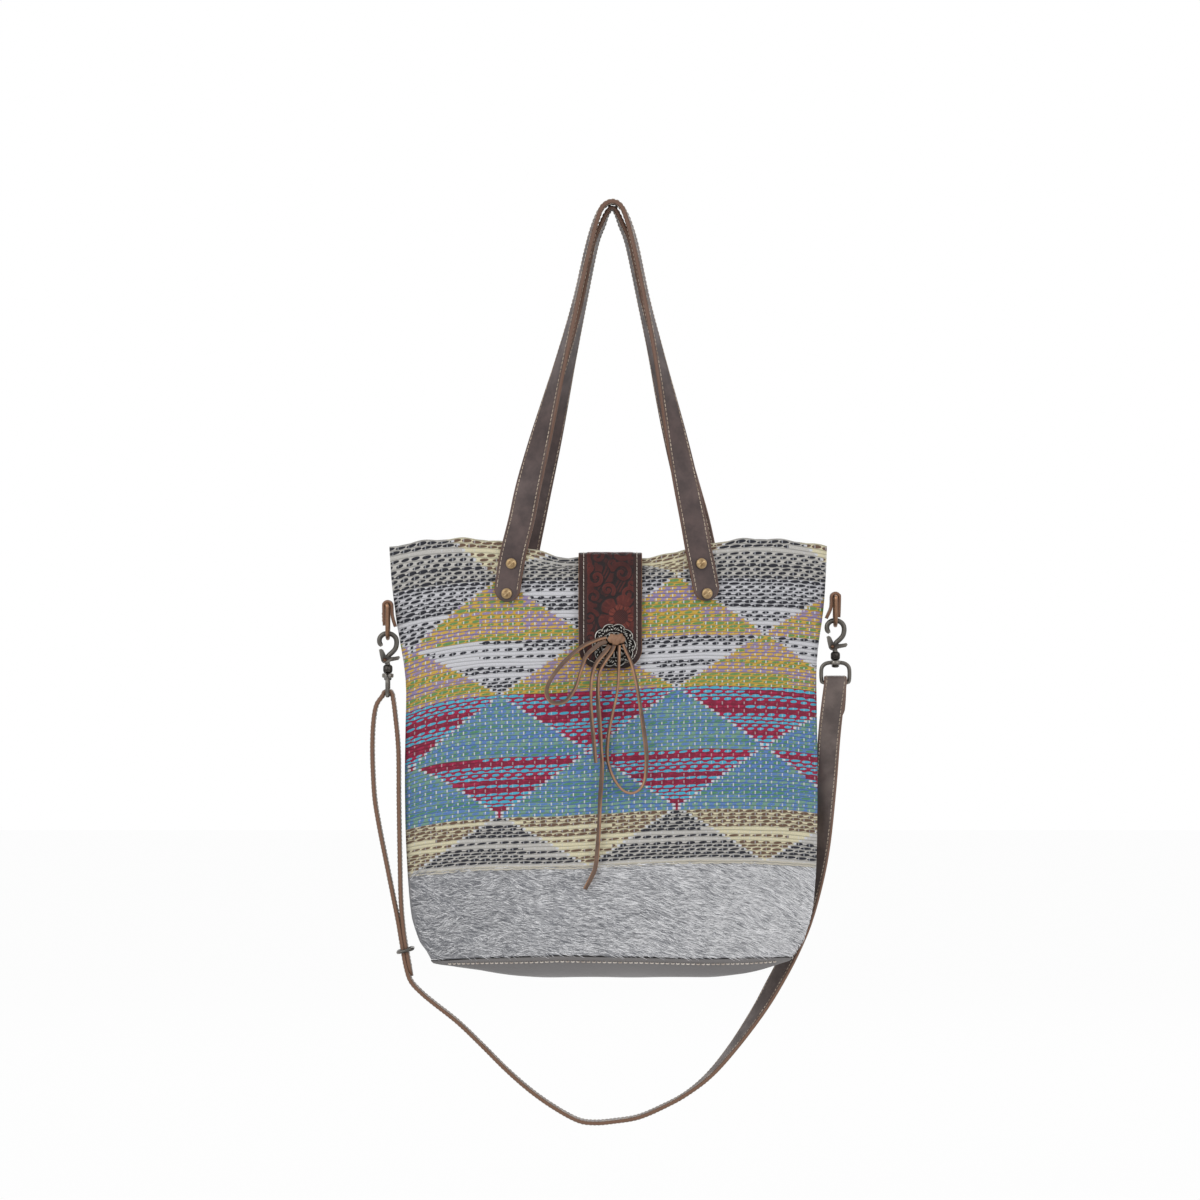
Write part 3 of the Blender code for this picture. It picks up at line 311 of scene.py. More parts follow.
def row_shift(x, z):
    u = across_share(x, z)
    curl = 9.0 * np.abs(u) ** 6 * np.where(u < 0.0, 1.0, 0.6)
    return 0.014 * x - curl * ease((z - BASE_SEAM_Z) / 60.0)


SETTLE_X = (-171.0, -144.0, -110.0, -44.0, 23.0, 75.0, 158.0)
SETTLE_Z = np.array((-308.5, -358.0, -405.5, -456.5, -509.0, -554.5, -627.0))
SETTLE_RISE = (
    (0.0, 0.0, 0.0, 0.0, 0.0, 0.0, 0.0),
    (-3.0, -2.0, 0.0, 0.0, 0.0, 2.0, 1.5),
    (-6.5, -4.0, -1.5, 0.5, 2.5, 4.5, 3.0),
    (-3.0, -1.0, 0.5, 2.0, 4.5, 6.0, 4.5),
    (1.5, 1.5, 2.5, 4.0, 7.5, 8.0, 7.5),
    (6.5, 4.0, 4.2, 4.6, 6.7, 7.6, 6.0),
    (-1.0, -1.2, 1.2, 3.8, 1.7, -1.0, -3.0),
)


def settle(x, z_row):
    """How far a soft row has settled up or down at x, in millimetres, from seven measured rows."""
    x, z_row = np.broadcast_arrays(np.asarray(x, float), np.asarray(z_row, float))
    rows = np.stack([np.interp(x, SETTLE_X, row) for row in SETTLE_RISE])
    at = np.interp(-z_row, -SETTLE_Z, np.arange(len(SETTLE_Z)))
    low = np.minimum(at.astype(int), len(SETTLE_Z) - 2)
    under = np.take_along_axis(rows, low[None], 0)[0]
    over = np.take_along_axis(rows, low[None] + 1, 0)[0]
    return under + (over - under) * (at - low)


def actual_z(x, z_row):
    """The height of row z_row at x, with the mouth's dip between the handles and its arch beside them."""
    fade = ease((z_row - LATTICE_TOP_Z) / (MOUTH_Z - LATTICE_TOP_Z))
    off = np.abs(x - MOUTH_CENTRE_X)
    dip = MOUTH_DIP * ease(1.5 * (1.0 - off / DIP_HALF)) * fade
    outward = np.clip((off - ARCH_FROM) / ARCH_RUN, 0.0, 1.0)
    arch = (MOUTH_ARCH * np.sin(math.pi * outward) - CORNER_DROP * outward**2) * fade
    return z_row + row_shift(x, z_row) * (1.0 - fade) - dip + arch + settle(x, z_row)


WOVEN_END_Z = LATTICE_TOP_Z - sum(BAND_HEIGHTS)
print("woven from", MOUTH_Z, "to", WOVEN_END_Z, "mm")

# %% [markdown]
# ## Making meshes
# Every piece is a mesh with its place in its vertices. Swept pieces carry UVs in millimetres, so the
# materials can place stitches, edges and grain at their real size.

# %% Mesh helpers
def add_mesh(name, vertices, faces, material, uv=None, layers=None, smooth=True):
    """A mesh object from millimetres; uv holds one pair and layers one value for each vertex."""
    mesh = bpy.data.meshes.new(name)
    mesh.from_pydata((np.asarray(vertices, float) * MM).tolist(), [], [tuple(f) for f in faces])
    mesh.materials.append(material)
    corners = np.empty(len(mesh.loops), np.int32)
    mesh.loops.foreach_get("vertex_index", corners)
    if uv is not None:
        layer = mesh.uv_layers.new(name="UVMap")
        layer.data.foreach_set("uv", np.asarray(uv, float)[corners].ravel())
    for key, values in (layers or {}).items():
        layer = mesh.attributes.new(key, "FLOAT", "POINT")
        layer.data.foreach_set("value", np.asarray(values, float))
    if smooth:
        mesh.polygons.foreach_set("use_smooth", np.ones(len(mesh.polygons), bool))
    mesh.update()
    made = bpy.data.objects.new(name, mesh)
    scene.collection.objects.link(made)
    return made


def grid_faces(rows, columns, start=0):
    index = start + np.arange(rows * columns).reshape(rows, columns)
    quads = np.stack([index[:-1, :-1], index[:-1, 1:], index[1:, 1:], index[1:, :-1]], -1)
    return quads.reshape(-1, 4)


def ring_faces(rings, sides, closed=False):
    """Faces of a tube from rings of vertices: joined to itself if closed, or else capped at both ends."""
    index = np.arange(rings * sides).reshape(rings, sides)
    if closed:
        index = np.vstack([index, index[:1]])
    around = np.roll(index, -1, 1)
    quads = np.stack([index[:-1], around[:-1], around[1:], index[1:]], -1).reshape(-1, 4).tolist()
    return quads if closed else quads + [index[0][::-1].tolist(), index[-1].tolist()]


def unit(vectors):
    return vectors / np.linalg.norm(vectors, axis=1)[:, None]


def run_along(path):
    """The distance along a path at each of its points; columns after the third don't count."""
    return np.concatenate([[0.0], np.cumsum(np.linalg.norm(np.diff(path[:, :3], axis=0), axis=1))])


def sample(at, run, rows):
    """The rows that belong to the distances in run, at the distances in at."""
    return np.stack([np.interp(at, run, column) for column in rows.T], -1)


def smooth_path(points, step):
    """Points at even steps along a smooth curve through the given points of any dimension."""
    p = np.array(points, float)
    ends = np.vstack([2.0 * p[0] - p[1], p, 2.0 * p[-1] - p[-2]])
    t = np.linspace(0.0, 1.0, 24, endpoint=False)[:, None]
    fine = []
    for i in range(1, len(ends) - 2):
        a, b, c, d = ends[i - 1 : i + 3]
        bend = (2 * a - 5 * b + 4 * c - d) * t**2 + (3 * b - a - 3 * c + d) * t**3
        fine.append(0.5 * (2 * b + (c - a) * t + bend))
    fine = np.vstack(fine + [p[-1:]])
    run = run_along(fine)
    count = max(4, int(round(run[-1] / step)) + 1)
    return sample(np.linspace(0.0, run[-1], count), run, fine)


def frames_along(path, wide_hint=None):
    """Unit directions ahead, across and through at each point of a path."""
    path = np.asarray(path, float)
    ahead = unit(np.gradient(path, axis=0))
    if wide_hint is None:
        wide = np.zeros_like(path)
        normal = np.cross(ahead[0], (0.0, 1.0, 0.0))
        if np.linalg.norm(normal) < 0.1:
            normal = np.cross(ahead[0], (1.0, 0.0, 0.0))
        for i, a in enumerate(ahead):
            normal = normal - a * normal.dot(a)
            normal /= np.linalg.norm(normal)
            wide[i] = normal
    else:
        wide = np.asarray(wide_hint, float)
        wide = unit(wide - ahead * (wide * ahead).sum(1)[:, None])
    return ahead, wide, np.cross(ahead, wide)


def sweep(path, profile, wide_hint=None, scale=None, closed=False):
    """Vertices, faces and UVs of a profile (across, through) swept along a path, with end caps."""
    path, profile = np.asarray(path, float), np.asarray(profile, float)
    if closed:
        ring = np.vstack([path[-2:], path, path[:2]])
        wide, thick = (across[2:-2] for across in frames_along(ring, wide_hint)[1:])
    else:
        wide, thick = frames_along(path, wide_hint)[1:]
    scale = np.ones(len(path)) if scale is None else np.asarray(scale)
    vertices = (
        path[:, None]
        + wide[:, None] * (profile[None, :, :1] * scale[:, None, None])
        + thick[:, None] * profile[None, :, 1:2]
    ).reshape(-1, 3)
    sides = len(profile)
    across = (profile[None, :, 0] * scale[:, None]).ravel()
    along = np.repeat(run_along(path), sides)
    return vertices, ring_faces(len(path), sides, closed), np.stack([across, along], 1)


def circle(radius, sides):
    angle = np.linspace(0.0, 2.0 * math.pi, sides, endpoint=False)
    return np.stack([np.cos(angle), np.sin(angle)], 1) * radius


def band_profile(width, ply, steps, dome):
    """A strap's section: two slightly domed faces with eased edges and a groove inside each edge."""
    half, thick, edge, groove = width / 2.0, ply / 2.0, min(1.0, ply * 0.32), 0.12
    across = np.linspace(-1.0, 1.0, steps + 1) * (half - edge)
    ridge = groove * (np.abs(across) < half - edge * 1.5)
    face = thick - groove + dome * (1.0 - (across / half) ** 2) + ridge
    corner = np.array([[half - edge * 0.35, thick - edge * 0.35], [half, thick - edge]])
    right = np.vstack([corner, corner[::-1] * (1, -1)])
    top = np.stack([across, face], 1)
    low = top[::-1] * (1, -1)
    left = right * (-1, 1)
    return np.vstack([top, right, low, left[::-1]])


def merge(parts):
    """Join several (vertices, faces, uv) triples into one."""
    vertices, faces, uvs, start = [], [], [], 0
    for v, f, uv in parts:
        vertices.append(v)
        uvs.append(uv)
        faces.extend(tuple(i + start for i in face) for face in f)
        start += len(v)
    return np.vstack(vertices), faces, np.vstack(uvs)


STITCH_SHAPE = ((-0.5, -0.55), (-0.36, 0.35), (0.0, 0.6), (0.36, 0.35), (0.5, -0.55))
STITCH_SLANT, STITCH_SIDES = 0.12, 5


def stitches(path, wide_hint, offset, lift, pitch, length, radius):
    """A row of slanted thread stitches along a strap, offset across it and standing on its face."""
    path = np.asarray(path, float)
    run, along = run_along(path), (path, *frames_along(path, wide_hint))
    slant, side = STITCH_SLANT * np.sign(offset or 1), np.sign(lift)
    parts = []
    for s in np.arange(pitch, run[-1] - pitch * 0.6, pitch):
        at, ahead, wide, out = (sample(s, run, rows) for rows in along)
        line = [
            at + ahead * (length * u) + wide * (offset + slant * u) + out * (lift + side * radius * h)
            for u, h in STITCH_SHAPE
        ]
        parts.append(sweep(line, circle(radius, STITCH_SIDES)))
    return merge(parts)


print("mesh helpers ready")

# %% [markdown]
# ## Materials
# The real bag mixes waxed leather, hide, woven cotton and antiqued metal. Each look is a node material
# worked out from object coordinates, UV or attributes; grain used by several leathers is one node group.

# %% Material helpers
def srgb(*levels):
    """Linear colour from 0-255 display levels."""
    c = np.array(levels, float) / 255.0
    return tuple(np.where(c <= 0.04045, c / 12.92, ((c + 0.055) / 1.055) ** 2.4))


def new_material(name, roughness, metallic=0.0, **sockets):
    material = bpy.data.materials.new(name)
    material.use_nodes = True
    shader = material.node_tree.nodes["Principled BSDF"]
    shader.inputs["Roughness"].default_value = roughness
    shader.inputs["Metallic"].default_value = metallic
    for key, value in sockets.items():
        shader.inputs[key.replace("_", " ")].default_value = value
    return material, Nodes(material.node_tree), shader


def finish_material(material, n, shader, colour, roughness=None, height=None, strength=0.4, distance=0.3):
    links = material.node_tree.links
    links.new(colour, shader.inputs["Base Color"])
    if roughness is not None:
        links.new(roughness, shader.inputs["Roughness"])
    if height is not None:
        bump = n.add("Bump", {"Strength": strength, "Distance": distance * MM, "Height": height})
        links.new(bump, shader.inputs["Normal"])
    return material


def grain_group():
    """Leather grain: pores and creases as a height, and a soft mottle, from object coordinates."""
    group = bpy.data.node_groups.new("leather_grain", "ShaderNodeTree")
    group.interface.new_socket("Vector", in_out="INPUT", socket_type="NodeSocketVector")
    group.interface.new_socket("Height", in_out="OUTPUT", socket_type="NodeSocketFloat")
    group.interface.new_socket("Mottle", in_out="OUTPUT", socket_type="NodeSocketFloat")
    n = Nodes(group)
    place = group.nodes.new("NodeGroupInput").outputs[0]
    cells = n.add("TexVoronoi", {"Vector": place, "Scale": 1400.0}, 0, feature="F1")
    creases = n.noise(place, 260.0, 4.0)
    height = n.plus(n.times(cells, 0.6), n.times(creases, 0.8))
    mottle = n.step(n.noise(place, 55.0, 5.0, 0.65), 0.3, 0.72)
    out = group.nodes.new("NodeGroupOutput")
    group.links.new(height, out.inputs[0])
    group.links.new(mottle, out.inputs[1])
    return group


GRAIN = grain_group()


def grain_of(n):
    node = n.tree.nodes.new("ShaderNodeGroup")
    node.node_tree = GRAIN
    n.tree.links.new(n.object_place(), node.inputs[0])
    return node.outputs[0], node.outputs[1]


def leather(name, face, dark, edge, half_width, roughness=0.5):
    """Waxed strap leather: mottled face, worn tan cut edges found from the UV across the strap."""
    material, n, shader = new_material(name, roughness)
    height, mottle = grain_of(n)
    wear = n.noise(n.object_place(), 300.0, 3.0)
    reach = n.plus(n.absolute(n.uv_part(0)), n.times(n.minus(wear, 0.5), 0.5))
    rim = n.step(reach, half_width - 0.65, half_width - 0.15)
    pull = n.step(reach, half_width - 2.4, half_width - 0.8)
    body = n.mix(mottle, dark, face)
    body = n.mix(n.times(pull, 0.35), body, edge)
    rough = n.plus(n.times(mottle, -0.12), roughness + 0.08)
    return finish_material(material, n, shader, n.mix(rim, body, edge), rough, height, 0.22, 0.12)


def thread_material(name, colour, dirt):
    material, n, shader = new_material(name, 0.75)
    place = n.object_place()
    twist = n.noise(place, 2600.0, 2.0)
    mixed = n.mix(n.step(n.noise(place, 130.0, 3.0), 0.35, 0.7), colour, dirt)
    return finish_material(material, n, shader, mixed, None, twist, 0.4, 0.1)


def metal(name, bright, dark, roughness, amount):
    """Antiqued metal: dark patina with bright rubbed patches, darker and rougher in its hollows."""
    material, n, shader = new_material(name, roughness, 1.0)
    place = n.object_place()
    rubbed = n.step(n.add("NewGeometry", None, 7), 0.5, 0.56)
    cloud = n.step(n.noise(place, 420.0, 5.0, 0.7), 0.38, 0.68)
    share = n.math("MAXIMUM", n.times(cloud, amount), n.times(rubbed, 0.9))
    rough = n.plus(n.times(share, -0.2), roughness + 0.16)
    relief = n.noise(place, 900.0, 3.0)
    return finish_material(material, n, shader, n.mix(share, dark, bright), rough, relief, 0.18, 0.1)


HANDLE_LEATHER = leather("handle_leather", srgb(84, 66, 63), srgb(57, 44, 43), srgb(110, 80, 64), 11.0)
STRAP_LEATHER = leather(
    "strap_leather_worn", srgb(104, 91, 86), srgb(76, 65, 62), srgb(118, 86, 66), 9.5, 0.46
)
TAB_LEATHER = leather("tab_leather", srgb(118, 92, 80), srgb(88, 67, 60), srgb(128, 92, 70), 8.5)
THREAD = thread_material("tan_thread", srgb(208, 192, 172), srgb(142, 122, 104))
WHITE_THREAD = thread_material("white_thread", srgb(222, 214, 204), srgb(170, 155, 142))
BRASS = metal("antique_brass", srgb(196, 170, 130), srgb(112, 88, 60), 0.32, 0.7)
GUNMETAL = metal("dark_gunmetal", srgb(128, 124, 118), srgb(44, 41, 39), 0.3, 0.3)
COPPER = metal("antique_copper", srgb(166, 128, 102), srgb(58, 45, 39), 0.34, 0.4)
print(len(bpy.data.materials), "materials so far")

# %% [markdown]
# ## The lace
# One thin leather lace ties the flap: it comes out of a knot in front of the ornament and falls in two
# loops and two tails. Each is swept as a flat cut strip that slowly turns, so its dark face and its tan
# cut edges show by turns, as on the photograph.

# %% Lace loops and tails
FLAP_X, FLAP_PLY = -1.5, 2.4
CONCHO_X, CONCHO_Z, KNOT_Z = 1.5, -366.0, -360.5
LACE_D, LACE_WIDE, LACE_THICK, LACE_EDGE = 2.6, 3.5, 2.0, 0.35
LACE_ROUTES = {
    "lace_left_loop": (
        (606.2, 637.0, 0), (597, 639.5, 1), (581, 647, 2), (563, 663, 3), (551, 679, 3), (547, 691, 3),
        (551, 700, 3), (558, 702, 4), (567, 699, 5), (576, 686, 6), (581, 670, 7), (586, 656, 6),
        (594, 648, 4), (602, 642, 2), (606.2, 641.1, 0),
    ),
    "lace_right_loop": (
        (619, 644.7, 0), (618.6, 665, 0), (617, 691, 0), (611, 718, -1), (608, 736, -1),
        (607, 754, -1), (610, 768, -1), (617, 782, 0), (626, 790, 2), (635, 790, 4),
        (642, 784, 5), (645, 774, 6), (646, 754, 6), (644, 734, 6), (640, 706, 5),
        (636, 682, 3), (631, 662, 2), (626, 651, 1), (623.2, 643.8, 0),
    ),
    "lace_short_tail": (
        (609.6, 645.0, 0), (605, 651.5, 4), (596, 663, 9), (592, 676, 11), (591, 695, 12), (592, 720, 13),
        (594, 741, 13), (596, 761, 13),
    ),
    "lace_long_tail": (
        (614, 644.8, 0), (611.5, 651, 1), (606, 659, 3), (600, 670, 4), (598, 684, 4), (598, 700, 4),
        (600, 727, 4), (602, 763, 4), (600, 799, 3), (599, 825, 2), (597, 852, 1), (595, 866, 0),
        (590, 877, 0), (585, 886, 0),
    ),
}
LACE_TURNS = {
    "lace_left_loop": (80, 20, -30, -75, 10),
    "lace_right_loop": (70, 85, 60, 95, 25, 60, 75),
    "lace_short_tail": (20, 65, 80, 40, 70),
    "lace_long_tail": (30, 80, 25, 75, 20, 60, 15, -40),
}
LACE_ENDS = {
    "lace_left_loop": "object", "lace_right_loop": "object",
    "lace_short_tail": "bare", "lace_long_tail": "bare",
}
AHEAD_SHARE = 0.62


def panel_face_y(x, z):
    return section_y(x, z) + SEAM_GAP + CLOTH + 0.9


def flap_front_y(z):
    return -(panel_face_y(FLAP_X, z) + 0.3 + FLAP_PLY + 1.8)


def lace_plane_y(z):
    """The plane that the laces hang in: before the ornament at the knot, before the cloth lower down."""
    front = flap_front_y(CONCHO_Z) - 0.3 - 3.0 - LACE_D * 0.5 - 2.6
    low = -(depth_at(-480.0) + CLOTH + 0.9 + 4.5)
    return front + (min(low, front) - front) * ease((KNOT_Z - z) / 90.0)


def lace_points(name):
    points = []
    for x, y, ahead in LACE_ROUTES[name]:
        px, pz = from_photo(x, y)
        points.append((px, lace_plane_y(pz) - ahead * AHEAD_SHARE, pz))
    return smooth_path(points, LACE_D * 2.2)


def lace_material():
    material, n, shader = new_material("cut_lace_leather", 0.58)
    height, mottle = grain_of(n)
    side = n.attribute("cut_edge")
    edge = n.mix(mottle, srgb(142, 104, 78), srgb(176, 134, 102))
    face = n.mix(mottle, srgb(84, 64, 54), srgb(118, 94, 78))
    return finish_material(material, n, shader, n.mix(side, face, edge), None, height, 0.3, 0.1)


LACE_LEATHER = lace_material()


def make_lace(name):
    """One flat strip along its route, turning by the angles of its row in LACE_TURNS."""
    coarse = lace_points(name)
    path = smooth_path(coarse, 1.1)
    turns = LACE_TURNS[name]
    share = np.linspace(0, 1, len(path))
    angle = np.radians(np.interp(share, np.linspace(0, 1, len(turns)), turns))
    ahead = unit(np.gradient(path, axis=0))
    flat = unit(np.cross(ahead, (0.0, 1.0, 0.0)))
    deep = np.cross(ahead, flat)
    wide = flat * np.cos(angle)[:, None] + deep * np.sin(angle)[:, None]
    w, t, e = LACE_WIDE / 2, LACE_THICK / 2, LACE_EDGE
    upper = [(w, t - e), (w - e, t), (0, t), (e - w, t), (-w, t - e)]
    profile = np.array(upper + [(-w, e - t), (e - w, -t), (0, -t), (w - e, -t), (w, e - t)])
    vertices, faces, uv = sweep(path, profile, wide)
    edge = np.tile((np.abs(profile[:, 0]) > w - 0.1).astype(float), len(path))
    piece = add_mesh(name + "_leather", vertices, faces, LACE_LEATHER, uv, {"cut_edge": edge})
    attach(piece, "flap")
    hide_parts(name)
    return piece


for lace, end in LACE_ENDS.items():
    make_lace(lace)


def make_knot():
    """The knot: two wraps of the lace over a rounded core, where the tails begin."""
    x0, z0 = from_photo(616, 639)
    y0 = lace_plane_y(KNOT_Z)
    angle = np.linspace(0, 2 * math.pi, 26, endpoint=False)
    band = [(1.9, 0.5), (0.9, 1.0), (-0.9, 1.0), (-1.9, 0.5), (-1.9, -0.5), (1.9, -0.5)]
    parts = []
    for start, tilt, radius in ((-2.3, -0.6, 3.7), (1.9, 0.9, 3.9)):
        x = x0 + start + tilt * 2 * np.sin(angle)
        ring = np.stack([x, y0 + radius * 0.72 * np.cos(angle), z0 + radius * np.sin(angle)], 1)
        parts.append(sweep(ring, band, np.tile((1.0, 0.0, 0.0), (len(ring) + 4, 1)), closed=True))
    core = smooth_path([(x0 - 7.0, y0, z0), (x0, y0 - 0.6, z0 + 0.4), (x0 + 7.4, y0 + 0.2, z0 - 0.3)], 0.7)
    round_end = np.sqrt(np.clip(1.0 - np.linspace(-0.98, 0.98, len(core)) ** 4, 0.0, 1.0))
    parts.append(sweep(core, circle(3.7, 16) * (1.0, 0.75), scale=round_end))
    vertices, faces, uv = merge(parts)
    edge = np.full(len(vertices), 0.75)
    piece = add_mesh("lace_knot_leather", vertices, faces, LACE_LEATHER, uv, {"cut_edge": edge})
    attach(piece, "flap")
    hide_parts("lace_knot")


make_knot()
print("laces and knot made")

# %% [markdown]
# ## The woven panels
# Each panel is a dense grid that follows every weft pick. A pick is a thick yarn pinched where a warp
# crosses it, so the relief is real. The colours come from the lattice rule in the material: a pick lies
# inside or outside a column of triangles, and each field twists two or three yarns together.

# %% Weave material and panels
PICKS_PER_BAND, ROWS_PER_PICK, WEAVE_COLUMNS = 16, 5, 152
HIDE_PLY, WARP_SPACING = 2.2, 4.6
WARP, HEM = srgb(214, 216, 222), srgb(206, 200, 186)
WHITE, BLACK, GREY = srgb(214, 214, 219), srgb(32, 33, 43), srgb(200, 197, 192)
CREAM, BROWN, GOLD = srgb(226, 218, 186), srgb(108, 84, 68), srgb(210, 172, 74)
GREEN, LILAC, CRIMSON = srgb(104, 148, 88), srgb(154, 138, 178), srgb(168, 30, 72)
CYAN, SKY, TEAL, SEA = srgb(72, 176, 206), srgb(96, 134, 194), srgb(120, 162, 142), srgb(86, 142, 106)
MAROON = srgb(132, 26, 58)


def weave_material():
    """Each pick's colour: the lattice picks the field, and the field two or three yarns and its floats."""
    material, n, shader = new_material("triangle_weave", 0.85, Sheen_Weight=0.15, Sheen_Roughness=0.5)
    x, v = n.uv_part(0), n.uv_part(1)
    pick, within = n.math("FLOOR", v), n.math("FRACT", v)
    band = n.over(pick, float(PICKS_PER_BAND))
    spread = n.math("PINGPONG", n.plus(band, 0.03), 1.0)
    column = n.math("PINGPONG", n.over(n.minus(x, APEX_X), HALF_BASE), 1.0)
    apart = n.minus(spread, column)
    inside = n.above(apart, 0.0)
    stop = n.over(n.plus(band, 1.0), 6.0)

    def field(inner, outer):
        """One value for each of the six bands inside the triangles, and another between them."""
        first = n.ramp(stop, [(k / 6, value) for k, value in enumerate(inner)], "CONSTANT")
        second = n.ramp(stop, [(k / 6, value) for k, value in enumerate(outer)], "CONSTANT")
        return n.mix(inside, second, first)

    first = field([CREAM, GOLD, WHITE, SKY, CRIMSON, GREY], [GREY, WHITE, GOLD, CRIMSON, SKY, CREAM])
    second = field([BROWN, GREEN, BLACK, SEA, CYAN, BLACK], [BLACK, BLACK, GREEN, CYAN, SEA, BROWN])
    third = field([CREAM, LILAC, WHITE, TEAL, MAROON, GREY], [GREY, WHITE, LILAC, MAROON, TEAL, CREAM])
    pale, rich, hot = (0.93,), (0.5,), (0.87,)
    calm = field([pale, rich, pale, rich, hot, pale], [pale, pale, rich, hot, rich, pale])
    plain = n.above(calm, 0.8)

    # Which yarns a pick holds: whole rows change by luck, and so do stretches of a row.
    row_key = n.vector(pick)
    luck = n.luck(row_key)
    luck_two = n.luck(n.add("VectorMath", {0: row_key, 1: (17.3, 4.1, 0.0)}, operation="ADD"))
    stretch = n.math("FLOOR", n.over(n.plus(x, n.times(pick, 37.0)), 74.0))
    turned_row = n.above(n.luck(n.vector(pick, stretch, 3.0)), calm)
    ground = n.mix(turned_row, first, third)
    accent = n.mix(turned_row, n.mix(n.above(luck, 0.72), second, third), first)

    # The floats: lens-shaped dashes between warps, half a step apart from row to row like bricks.
    lens = n.absolute(n.minus(within, 0.5))
    wander = n.noise(n.vector(n.over(x, 34.0), n.times(pick, 5.1)), 1.0, 1.0)
    brick = n.plus(n.over(x, 2.0 * WARP_SPACING), n.times(pick, 0.5))
    phase = n.math("FRACT", n.plus(brick, n.times(n.minus(wander, 0.1), 0.8)))
    t = n.over(phase, n.step(luck_two, 0.0, 1.0, 0.62, 0.98))
    body = n.math("MAXIMUM", n.times(n.times(t, n.minus(1.0, t)), 4.0), 0.0)
    fatness = n.math("MULTIPLY_ADD", plain, 0.05, n.step(luck, 0.0, 1.0, 0.3, 0.42))
    half = n.times(n.math("POWER", body, 0.4), fatness)
    centre = n.math("MULTIPLY_ADD", n.minus(t, 0.5), -0.2, 0.5)
    away = n.minus(n.absolute(n.minus(within, centre)), half)
    dash = n.times(n.step(away, 0.03, -0.08), n.above(body, 0.01))
    tail = n.times(n.step(n.absolute(n.minus(within, 0.62)), 0.16, 0.06), n.above(luck, 0.45))
    dash = n.math("MAXIMUM", dash, n.times(tail, plain))
    colour = n.mix(dash, ground, accent)

    # White warp: a worn dot at each crossing and a line along the lattice.
    near = n.minus(0.5, n.absolute(n.minus(n.math("FRACT", brick), 0.5)))
    fleck = n.noise(n.object_place(), 150.0, 1.0)
    dot = n.times(n.step(near, 0.066, 0.04), n.step(lens, 0.46, 0.32))
    dot = n.times(dot, n.step(fleck, 0.38, 0.5))
    dot = n.times(dot, n.minus(1.0, n.times(plain, 0.55)))
    edge = n.times(n.step(n.absolute(apart), 0.022, 0.012), n.step(lens, 0.36, 0.24))
    edge = n.times(edge, n.step(fleck, 0.3, 0.4))
    colour = n.mix(n.math("MAXIMUM", dot, edge), colour, WARP)
    colour = n.mix(n.above(v, 5.0 * PICKS_PER_BAND - 0.4), colour, HEM)

    # Fibres vary every colour, and painted shade darkens the groove between picks.
    fibre = n.noise(n.vector(n.times(x, 0.5), n.times(v, 2.4)), 2.6, 3.0)
    # tone: fibre variation times painted shade, which falls to 0.55 in the groove between picks.
    tone = n.times(n.step(fibre, 0.25, 0.75, 0.78, 1.08), n.step(lens, 0.3, 0.5, 1.0, 0.55))
    colour = n.mix(1.0, colour, n.add("CombineColor", {0: tone, 1: tone, 2: tone}), "MULTIPLY")
    relief = n.plus(n.times(fibre, 0.7), n.times(dash, 0.5))
    return finish_material(material, n, shader, colour, None, relief, 0.5, 0.5)


WEAVE = weave_material()
BAND_ENDS = [LATTICE_TOP_Z - sum(BAND_HEIGHTS[: i + 1]) for i in range(len(BAND_HEIGHTS))]
LEVELS = np.array([LATTICE_TOP_Z + 48.5, LATTICE_TOP_Z, *BAND_ENDS])
LEVEL_PICKS = np.arange(-1.0, 6.0) * PICKS_PER_BAND


